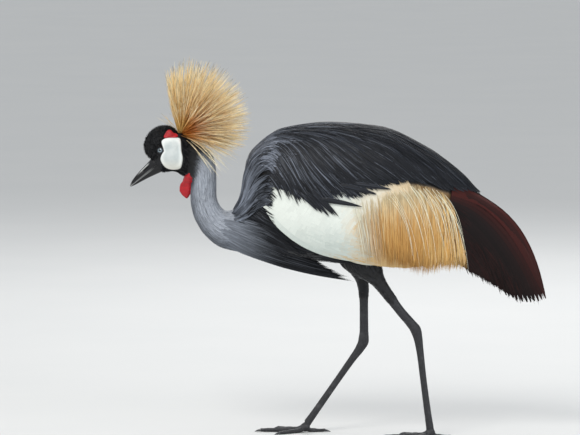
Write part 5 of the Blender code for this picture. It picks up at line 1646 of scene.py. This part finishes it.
def make_thighs():
    """Loose black feathers on the thighs, ending raggedly above the bare legs."""
    draw = np.random.default_rng(26)
    coat = Coat()
    n, stations = 560, 7
    share = np.linspace(0, 1, stations)[None]
    slim = 1 - 0.35 * share
    for name, side in SIDES.items():
        s = draw.uniform(0.3, FEATHERS_END + 0.1, n)
        angle = draw.uniform(0, 2 * math.pi, n)
        length = np.interp(s, [0, 3, 4.2], [30, 20, 9]) * draw.uniform(0.7, 1.2, n)
        fall = 1 / np.interp(s, [0, 1, 2, 3, 4], [25, 24, 24, 22, 28])
        x, z, depth, width, ahead = leg_axis(name, s[:, None] + length[:, None] * share * fall[:, None])
        raised = np.interp(share, [0, 0.3, 1], [-2.2, 1.0, 1.6]) + draw.uniform(-0.5, 1.5, (n, 1)) * share
        c, k = np.cos(angle)[:, None], np.sin(angle)[:, None]
        fore, out = ((np.maximum(half * slim, 4) + raised) * turn for half, turn in ((depth, c), (width, k)))
        path = about_leg(name, x, z, ahead, fore, out)
        normal = unit(np.stack([-c * ahead[..., 1], k * np.ones_like(x), c * ahead[..., 0]], -1))
        breadth = 4.8 * leaf(stations, 0.6, 0.06) * draw.uniform(0.6, 1.2, (n, 1))
        dark = blend(BLACK, SLATE, np.clip(draw.normal(0.25, 0.25, n), 0, 1))
        spot = np.stack([0.05 + s / 6 * 0.4 + (0.5 if side > 0 else 0), angle / (2 * math.pi)], -1)
        coat.add(draw, path, normal, breadth, 0.35, dark, spot)
    material = plumage("thigh_hair_feathers", 0.55, sheen=0.2, barb_depth=0.2)
    coat.build("thigh_feathers", material, "thigh_black")


def head_tree():
    """The head's own solid as a tree for finding its surface."""
    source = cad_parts["head"].data
    return BVHTree.FromPolygons([v.co[:] for v in source.vertices], [f.vertices[:] for f in source.polygons])


def outline(points, count):
    """A closed smooth outline through side-view points."""
    p = np.array(points)
    t = np.linspace(0, len(p), count, endpoint=False)
    i = t.astype(int) % len(p)
    f = (t - t.astype(int))[:, None]
    a, b, c, d = p[(i - 1) % len(p)], p[i], p[(i + 1) % len(p)], p[(i + 2) % len(p)]
    return 0.5 * ((2 * b) + (c - a) * f + (2 * a - 5 * b + 4 * c - d) * f**2 + (3 * b - a - 3 * c + d) * f**3)


def within(points, x, z, grow):
    """Whether side-view places lie inside an outline grown by millimetres."""
    ring = outline(points, 72)
    middle = ring.mean(0)
    ring = middle + (ring - middle) * (1 + grow / 16)
    x, z = np.asarray(x, float), np.asarray(z, float)
    inside = np.zeros(x.shape, bool)
    for (x0, z0), (x1, z1) in zip(ring, np.roll(ring, -1, 0)):
        crosses = (z0 > z) != (z1 > z)
        at = x0 + (z - z0) / (z1 - z0 if z1 != z0 else 1e-9) * (x1 - x0)
        inside ^= crosses & (x < at)
    return inside


def face_samples(draw, skin, count):
    """Places spread evenly over the head's skin in millimetres, and its normals there."""
    mesh = skin.data
    p = verts(mesh).astype(float) / MM
    mesh.calc_loop_triangles()
    corners = np.empty(len(mesh.loop_triangles) * 3, np.int32)
    mesh.loop_triangles.foreach_get("vertices", corners)
    faces = corners.reshape(-1, 3)
    middle = p[faces].mean(1)
    faces = faces[(middle[:, 2] > 440) & (middle[:, 0] < -232)]
    a, b, c = p[faces[:, 0]], p[faces[:, 1]], p[faces[:, 2]]
    cross = np.cross(b - a, c - a)
    area = np.linalg.norm(cross, axis=1)
    chosen = draw.choice(len(faces), count, p=area / area.sum())
    r, t = np.sqrt(draw.random(count)), draw.random(count)
    q = (1 - r)[:, None] * a[chosen] + (r * (1 - t))[:, None] * b[chosen] + (r * t)[:, None] * c[chosen]
    return q, unit(cross[chosen])


def bare_face(q):
    """Whether places lie on the cheek, the red skin, the eye or the wattle, which have no feathers."""
    x, y, z = q.T
    bare = within(CHEEK, x, z, 0.2) & (np.abs(y) > 7)
    bare |= within(RED, x, z, 0.0) & (np.abs(y) > 5)
    bare |= np.hypot(x + 310.8, z - 502.6) < 6.6
    return bare | ((((x + 262) / 11) ** 2 + ((z - 455) / 13) ** 2 < 1) & (z < 467))


def make_velvet(skin):
    """Dense black velvet on the forehead and crown, and short sooty feathers round the face."""
    draw = np.random.default_rng(27)
    q, normal = face_samples(draw, skin, 11200)
    feathered = ~bare_face(q)
    q, normal = q[feathered], normal[feathered]
    n, x, z = len(q), q[:, 0], q[:, 2]
    local = (q - np.array(VELVET_CENTRE)) @ velvet_axes().T
    cap = np.linalg.norm(local / (np.array(VELVET_SIZE) + 1.0), axis=1) < 1.02
    along = np.stack([np.full(n, 0.8), np.zeros(n), -0.2 - 0.6 * smooth(x, -300, -262)], -1)
    along = unit(along - normal * (along * normal).sum(1, keepdims=True))
    heading = unit(along + normal * np.where(cap, 1.3, 0.4)[:, None] + draw.normal(0, 0.14, (n, 3)))
    length = np.where(cap, draw.uniform(2.6, 3.6, n), draw.uniform(3.6, 6.5, n))
    length = np.where(~cap & (x < -312), draw.uniform(1.6, 2.6, n), length)
    stations = 3
    share = np.linspace(0, 1, stations)[None]
    path = q[:, None] - normal[:, None] * 0.5 + heading[:, None] * (length[:, None] * share)[..., None]
    path = path - normal[:, None] * np.where(cap, 0.1, 0.9)[:, None, None] * (share**2)[..., None]
    width = np.where(cap, 0.8, 1.1)[:, None] * leaf(stations, 0.8, 0.15) * draw.uniform(0.7, 1.3, (n, 1))
    lores = smooth(-x, 304, 322) * (1 - smooth(z, 492, 506)) * ~cap
    dark = blend(blend(BLACK * 0.6, SOOT, draw.random(n)), srgb(40, 44, 52), 0.7 * lores)
    dark = blend(dark, NECK_DARK * 0.55, (1 - face_black(x, z)) * (x > -262))
    unwrap = np.stack([(x + 350) / 125, np.arctan2(q[:, 1], z - 495) / (2 * math.pi) + 0.5], -1)
    coat = Coat()
    coat.add(draw, path * MM, along_path(normal, stations), width, 0.25, dark, unwrap)
    material = plumage("velvet_tufts", 0.9, sheen=0.0, barb_depth=0.0, root_painted_shade=0.5, specular=0.12)
    coat.build("head_velvet", material, "velvet_black")


def make_plate(name, points, side, tree, thick, dome, material, slot, node, middle_shade, rim_shade,
               rings=14):
    """Bare skin on the head's side: a domed plate in the given outline, with a rolled rim."""
    count = 72
    ring = outline(points, count)
    middle = ring.mean(0)
    inner = np.linspace(0.02, 0.86, rings)
    shares = np.concatenate([inner, [0.93, 0.97, 1.0, 1.0]])
    heights = dome * np.sqrt(1 - inner**2) + thick + np.exp(-((inner - 0.86) / 0.09) ** 2) * 0.45
    heights = np.concatenate([heights, [heights[-1] * 0.94, heights[-1] * 0.62, 0.1, -2.4]])
    form = np.empty((len(shares), count, 3))
    for i, (share, height) in enumerate(zip(shares, heights)):
        for j, (x, z) in enumerate(middle + (ring - middle) * share):
            hit, normal, _, _ = tree.ray_cast(Vector((x, 60 * side, z)) * MM, Vector((0, -side, 0)))
            if hit is None:
                hit, normal = Vector((x, side * 12, z)) * MM, Vector((0, side, 0))
            form[i, j] = np.array(hit) / MM + np.array(normal) * height
    form = form * MM
    for _ in range(3):
        form = form * 0.5 + (np.roll(form, 1, 1) + np.roll(form, -1, 1)) / 4
    # The rim's colour is blended in towards the edge; on the cheeks it is a painted highlight.
    shade = np.repeat(blend(middle_shade, rim_shade, smooth(shares, 0.62, 0.9)), count, 0)
    shell(name, ring_loft(form), side_map(-330, 455, 80, 100), material, slot, node,
          shade=np.concatenate([shade, [middle_shade, rim_shade]]))


def make_face():
    """White cheeks, the scarlet skin above them and the eyes."""
    tree = head_tree()
    white = Shader("cheek_skin", 0.5)
    pores = white.cells(1500, "F1")
    low = white.step(white.noise(70, 4.0), 0.38, 0.72)
    foot = white.step(white.parts()[2], 0.470, 0.492, 1.0, 0.0)
    skin = white.shade()
    shaded = white.mix(1.0, skin, (0.74, 0.79, 0.80), "MULTIPLY")
    colour = white.mix(white.math("MULTIPLY", low, 0.7), skin, shaded)
    colour = white.mix(white.math("MULTIPLY", foot, 0.35), colour, srgb(206, 196, 168))
    white.bump(white.math("ADD", white.math("MULTIPLY", pores, 0.6), white.noise(380)), 0.45, 0.0005)
    white.paint(colour)
    red = Shader("scarlet_skin", 0.42)
    warts = red.cells(420, "F1")
    colour = red.mix(red.step(red.noise(120), 0.35, 0.75), SCARLET, srgb(150, 6, 18))
    red.bump(red.math("ADD", warts, red.noise(300)), 0.5, 0.0008)
    red.paint(colour)
    for name, side in SIDES.items():
        make_plate(f"cheek_skin_{name}", CHEEK, side, tree, 1.3, 1.1, white.material, "white_skin",
                   f"cheek_{name}", CHEEK_WHITE, CHEEK_RIM_HIGHLIGHT)
        make_plate(f"scarlet_crown_{name}", RED, side, tree, 1.0, 0.8, red.material, "red_skin",
                   f"red_skin_{name}", SCARLET, SCARLET, rings=8)
        make_eye(name, side)
    return red.material


def make_eye(name, side):
    """A pale blue-grey eye with a black pupil under a clear cornea, and dark lids round it."""
    low, high = (np.array(c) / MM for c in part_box(f"eye_{name}"))
    centre, radius = (low + high) / 2, (high - low).min() / 2 - 0.15
    look = unit(np.array((-0.24, side * 0.96, 0.10)))
    up = unit(np.array((0, 0, 1.0)) - look * look[2])
    beside = np.cross(up, look)
    pupil = unit(look + 0.10 * side * beside + 0.07 * up)
    reach = np.radians(np.linspace(1.0, 179, 40))[:, None, None]
    t = even_turn(40)[:, None]
    away = up[None] * np.sin(t) + beside[None] * np.cos(t)
    ball = centre + radius * (look * np.cos(reach) + away * np.sin(reach))

    def shade(p):
        angle = np.degrees(np.arccos(np.clip(((p - centre) @ pupil) / radius, -1, 1)))
        iris = blend(srgb(138, 156, 166), srgb(82, 98, 112), smooth(angle, 24, 38))
        iris = blend(iris, BLACK * 0.3, 1 - smooth(angle, 18.5, 20.5))
        return blend(iris, BLACK, smooth(angle, 42, 46))

    unwrap = side_map(-330, 480, 40, 40)
    s = Shader(f"iris_{name}", 0.06, coat=1.0, specular=0.6)
    s.paint(s.mix(s.math("MULTIPLY", s.noise(1400, 4.0), 0.3), s.shade(), BLACK))
    shell(f"eyeball_{name}", ring_loft(ball * MM), unwrap, s.material, "eye", f"eye_{name}", shade=shade)
    tube = even_turn(14)
    t = even_turn(56)[:, None]
    inner = LID_INNER - 5 * np.abs(np.sin(t)) ** 1.5
    reach = np.radians((inner + LID_OUTER) / 2 - (LID_OUTER - inner) / 2 * np.cos(tube))
    height = radius + 0.35 + 0.75 * np.sin(tube)[None] + 0.35 * np.cos(tube)[None]
    away = beside * side * np.cos(t)[..., None] + up * np.sin(t)[..., None]
    ring = centre + height[..., None] * (look * np.cos(reach)[..., None] + away * np.sin(reach)[..., None])
    s = Shader(f"lid_skin_{name}", 0.55)
    s.bump(s.noise(900), 0.4, 0.0003)
    s.paint(s.mix(s.noise(500), BLACK, srgb(34, 36, 42)))
    shell(f"lids_{name}", hoop(ring * MM), unwrap, s.material, "velvet_black")


def make_bill():
    """Upper and lower bill with a rounded culmen, a nostril groove and a closed mouth line; a painted
    highlight runs along the culmen and the nostril is painted dark for the shade in it.
    """
    crown, throat = np.array(BILL_CROWN), np.array(BILL_THROAT)
    root = (crown + throat) / 2
    along = unit(np.array(BILL_TIP) - root)
    face_up = unit(crown - throat)
    up = unit(face_up - along * face_up.dot(along))
    s = Shader("bill_horn", 0.3, specular=0.35, coat=0.12)
    grain = s.noise(160, 4.0, s.place((0.3, 1, 1)))
    colour = s.mix(s.math("MULTIPLY", s.step(grain, 0.35, 0.75), 0.3), s.shade(), srgb(20, 21, 24))
    s.bump(s.math("ADD", grain, s.math("MULTIPLY", s.noise(1200, 2.0), 0.3)), 0.25, 0.0004)
    s.paint(colour)
    arc = np.linspace(0, math.pi, 33)
    for sign, name in ((1, "bill_upper"), (-1, "bill_lower")):
        rows, colours = [], []
        for share in np.linspace(-0.10, 1, 72):
            above, below, half = glide(BILL, max(share, 0.0))
            height = above if sign > 0 else below
            centre = root + along * BILL_LENGTH * share
            turned = min(1, max(share, 0) / 0.4)
            lean = unit(face_up * (1 - turned) + up * turned)
            rise = height * np.sin(arc) ** (0.9 if sign > 0 else 1.0)
            level = rise / height
            across = half * np.cos(arc)
            slit = np.zeros(33)
            if sign > 0:
                groove = math.exp(-((share - 0.33) / 0.17) ** 2) * np.exp(-((level - 0.62) / 0.16) ** 2)
                slit = smooth(-abs(share - 0.30), -0.125, -0.095) * np.exp(-((level - 0.58) / 0.085) ** 2)
                across = across * (1 - 0.22 * groove) * (1 - 0.46 * slit)
            floor = np.linspace(-half * 0.97, half * 0.97, 9)[1:-1]
            rises = np.concatenate([BILL_GAP + rise, np.full(7, BILL_GAP * 0.6)])[:, None]
            sideways = np.concatenate([across, floor])[:, None] * np.array((0, 1, 0))
            rows.append(centre + lean * sign * rises + sideways)
            edge = 1 - smooth(level, 0.02, 0.16)
            # A pale streak along the culmen: a painted highlight.
            ridge = smooth(level, 0.70, 0.80) * (1 - smooth(level, 0.84, 0.93)) * smooth(share, 0.08, 0.2)
            ridge = ridge * (1 - smooth(share, 0.42, 0.66)) if sign > 0 else 0 * ridge
            dark = np.broadcast_to(BILL_DARK, (33, 3))
            tone = blend(dark, BILL_PALE, 0.5 * edge * smooth(share, 0.05, 0.3))
            tone = blend(tone, BILL_PALE * 1.2, 0.9 * ridge)
            tone = blend(tone, BILL_PALE * 0.7, 0.6 * smooth(share, 0.86, 1.0))
            # The nostril slit is painted near black: painted shade inside the groove.
            tone = blend(tone, BLACK * 0.3, np.clip(slit * 1.3, 0, 1))
            colours += [tone, np.broadcast_to(BLACK, (7, 3))]
        shade = np.concatenate(colours + [[BLACK, BILL_PALE * 0.5]])
        shell(f"horn_{name}", ring_loft(np.array(rows) * MM), side_map(-370, 430, 70, 70), s.material,
              "bill_horn", name, shade=shade)


def make_wattle(material):
    """The scarlet wattle: a fold round the throat that runs down into a pointed lobe with wrinkles."""
    z = np.linspace(WATTLE[0][0], WATTLE[-1][0], 60)[:, None]
    front, back, half = np.moveaxis(glide(WATTLE, z[:, 0]), -1, 0)[:, :, None]
    turn = even_turn(72)[None]
    c, s = np.cos(turn), np.sin(turn)
    wrinkle = 1 + 0.035 * np.sin(9 * turn + 0.16 * (z - 430)) * np.abs(s) + 0.03 * np.sin(0.9 * z + 2 * c)
    x = (front + back) / 2 + (back - front) / 2 * np.sign(c) * np.abs(c) ** 0.8 * (1 + (wrinkle - 1) * 0.5)
    y = half * np.sign(s) * np.abs(s) ** 0.8 * wrinkle
    form = ring_loft(np.stack(np.broadcast_arrays(x, y, z), -1) * MM)
    shell("wattle_skin", form, side_map(-300, 410, 60, 70), material, "red_skin", "wattle")


def make_crest():
    """The crown of stiff straw-gold bristles, fanned from the hind crown."""
    draw = np.random.default_rng(30)
    n, stations = 2600, 8
    turn = draw.uniform(-42, 105, n)
    lateral = np.degrees(np.arcsin(draw.uniform(-1, 1, n) * math.sin(math.radians(54))))
    lateral = np.where(turn < -8, np.sign(lateral + 1e-3) * draw.uniform(12, 42, n), lateral)
    kept = draw.random(n) < np.interp(turn, [-42, -30, -17, -7], [0.06, 0.13, 0.36, 1.0])
    turn, lateral = (np.concatenate([drawn[kept], row]) for drawn, row in zip((turn, lateral), CREST_FRONT))
    n = len(turn)
    a, b = np.radians(turn), np.radians(lateral)
    heading = np.stack([np.cos(a) * np.cos(b), np.sin(b), np.sin(a) * np.cos(b)], -1)
    reach = glide(CREST_REACH, turn)[:, 0] * (1 - 0.10 * np.abs(np.sin(b)))
    reach = reach * np.where(draw.random(n) < 0.55, draw.uniform(0.92, 1.0, n), draw.uniform(0.62, 0.93, n))
    stout = draw.random(n) < 0.24
    reach = np.minimum(reach, CREST_SPREAD / np.maximum(np.abs(np.sin(b)), 0.2) * draw.uniform(0.9, 1.0, n))
    share = np.linspace(0, 1, stations)[None]
    reach[-6:] = 40 + 3 * np.arange(6)
    droop = (4 + 9 * np.clip((15 - turn) / 40, 0, None) ** 1.5)[:, None] * share**2
    swing = draw.normal(0, 1.8, (n, 1, 3)) * np.sin(share * math.pi)[..., None]
    start = CREST_ROOT + heading * CREST_DOME * 0.2 + draw.normal(0, 1.5, (n, 3))
    path = start[:, None] + heading[:, None] * (reach[:, None] * share)[..., None] + swing
    path[..., 2] -= droop
    slim = np.interp(share, [0, 0.4, 0.9, 1], [0.8, 1.0, 0.8, 0.3]) * np.where(stout, 1.4, 0.86)[:, None]
    slim = slim * draw.uniform(0.85, 1.15, (n, 1)) * np.where(turn < -14, 0.75, 1.0)[:, None]
    # Deeper orange towards the roots and the middle of the fan: partly the bristles' own colour, partly
    # painted shade where they crowd together.
    deep = np.clip(1.15 - np.abs(turn - 24) / 62 + draw.normal(0, 0.18, n), 0, 1)
    root = blend(STRAW, STRAW_DEEP, deep)
    tip = blend(STRAW_PALE, STRAW, np.clip(draw.normal(0.3, 0.25, n), 0, 1))
    pale = np.clip((-12 - turn) / 14, 0, 1)
    root, tip = blend(root, STRAW_PALE, 0.8 * pale), blend(tip, STRAW_PALE, pale)
    shade = root[:, None] + (tip - root)[:, None] * smooth(share, 0.3, 0.9)[..., None]
    # Stout bristles are painted lighter as a highlight, the thin ones a little darker.
    shade = shade * np.where(stout, 1.14, 0.94)[:, None, None]
    dark = (draw.random(n) < 0.30 * smooth(turn, 25, 60))[:, None] & (share > 0.9)
    shade = np.where(dark[..., None], BLACK, shade)
    spot = np.stack([(turn + 60) / 200, (lateral + 70) / 140], -1)
    material = plumage("crest_bristles", 0.5, sheen=0.0, root_painted_shade=0.85, barb_depth=0.15, barb_pitch=2.4,
                       tint_span=0.4)
    obj = bristles("crest_bristles", path * MM, slim, shade, spot, draw.random(n), CREST_THICK, 3, material)
    hang(obj, "crest_gold", "crest")


def finish_claws():
    """Dark horn on the claws, which are the frame's own solids."""
    s = Shader("claw_horn", 0.3, specular=0.55)
    s.bump(s.noise(700, 3.0, s.place((0.4, 1, 1))), 0.3, 0.0003)
    s.paint(s.mix(s.noise(300), srgb(24, 24, 27), srgb(58, 58, 62)))
    for name in SIDES:
        for toe, *_ in TOES:
            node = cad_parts[f"claw_{toe}_{name}"]
            node.data.materials.clear()
            node.data.materials.append(s.material)


def main():
    make_camera()
    make_floor()
    make_lights()
    skin = make_skin()
    make_body_feathers()
    make_thighs()
    make_tail()
    beds = [make_wing_bed(name) for name in SIDES]
    coverts = [make_coverts(name) for name in SIDES]
    for name in SIDES:
        make_plumes(name)
        make_secondaries(name)
        make_scapulars(name)
    tree = side_tree(skin, *beds)
    make_mantle(tree, side_tree(skin, *beds, *coverts))
    make_breast(tree)
    make_neck_feathers()
    make_velvet(skin)
    make_wattle(make_face())
    make_bill()
    make_crest()
    finish_claws()


main()
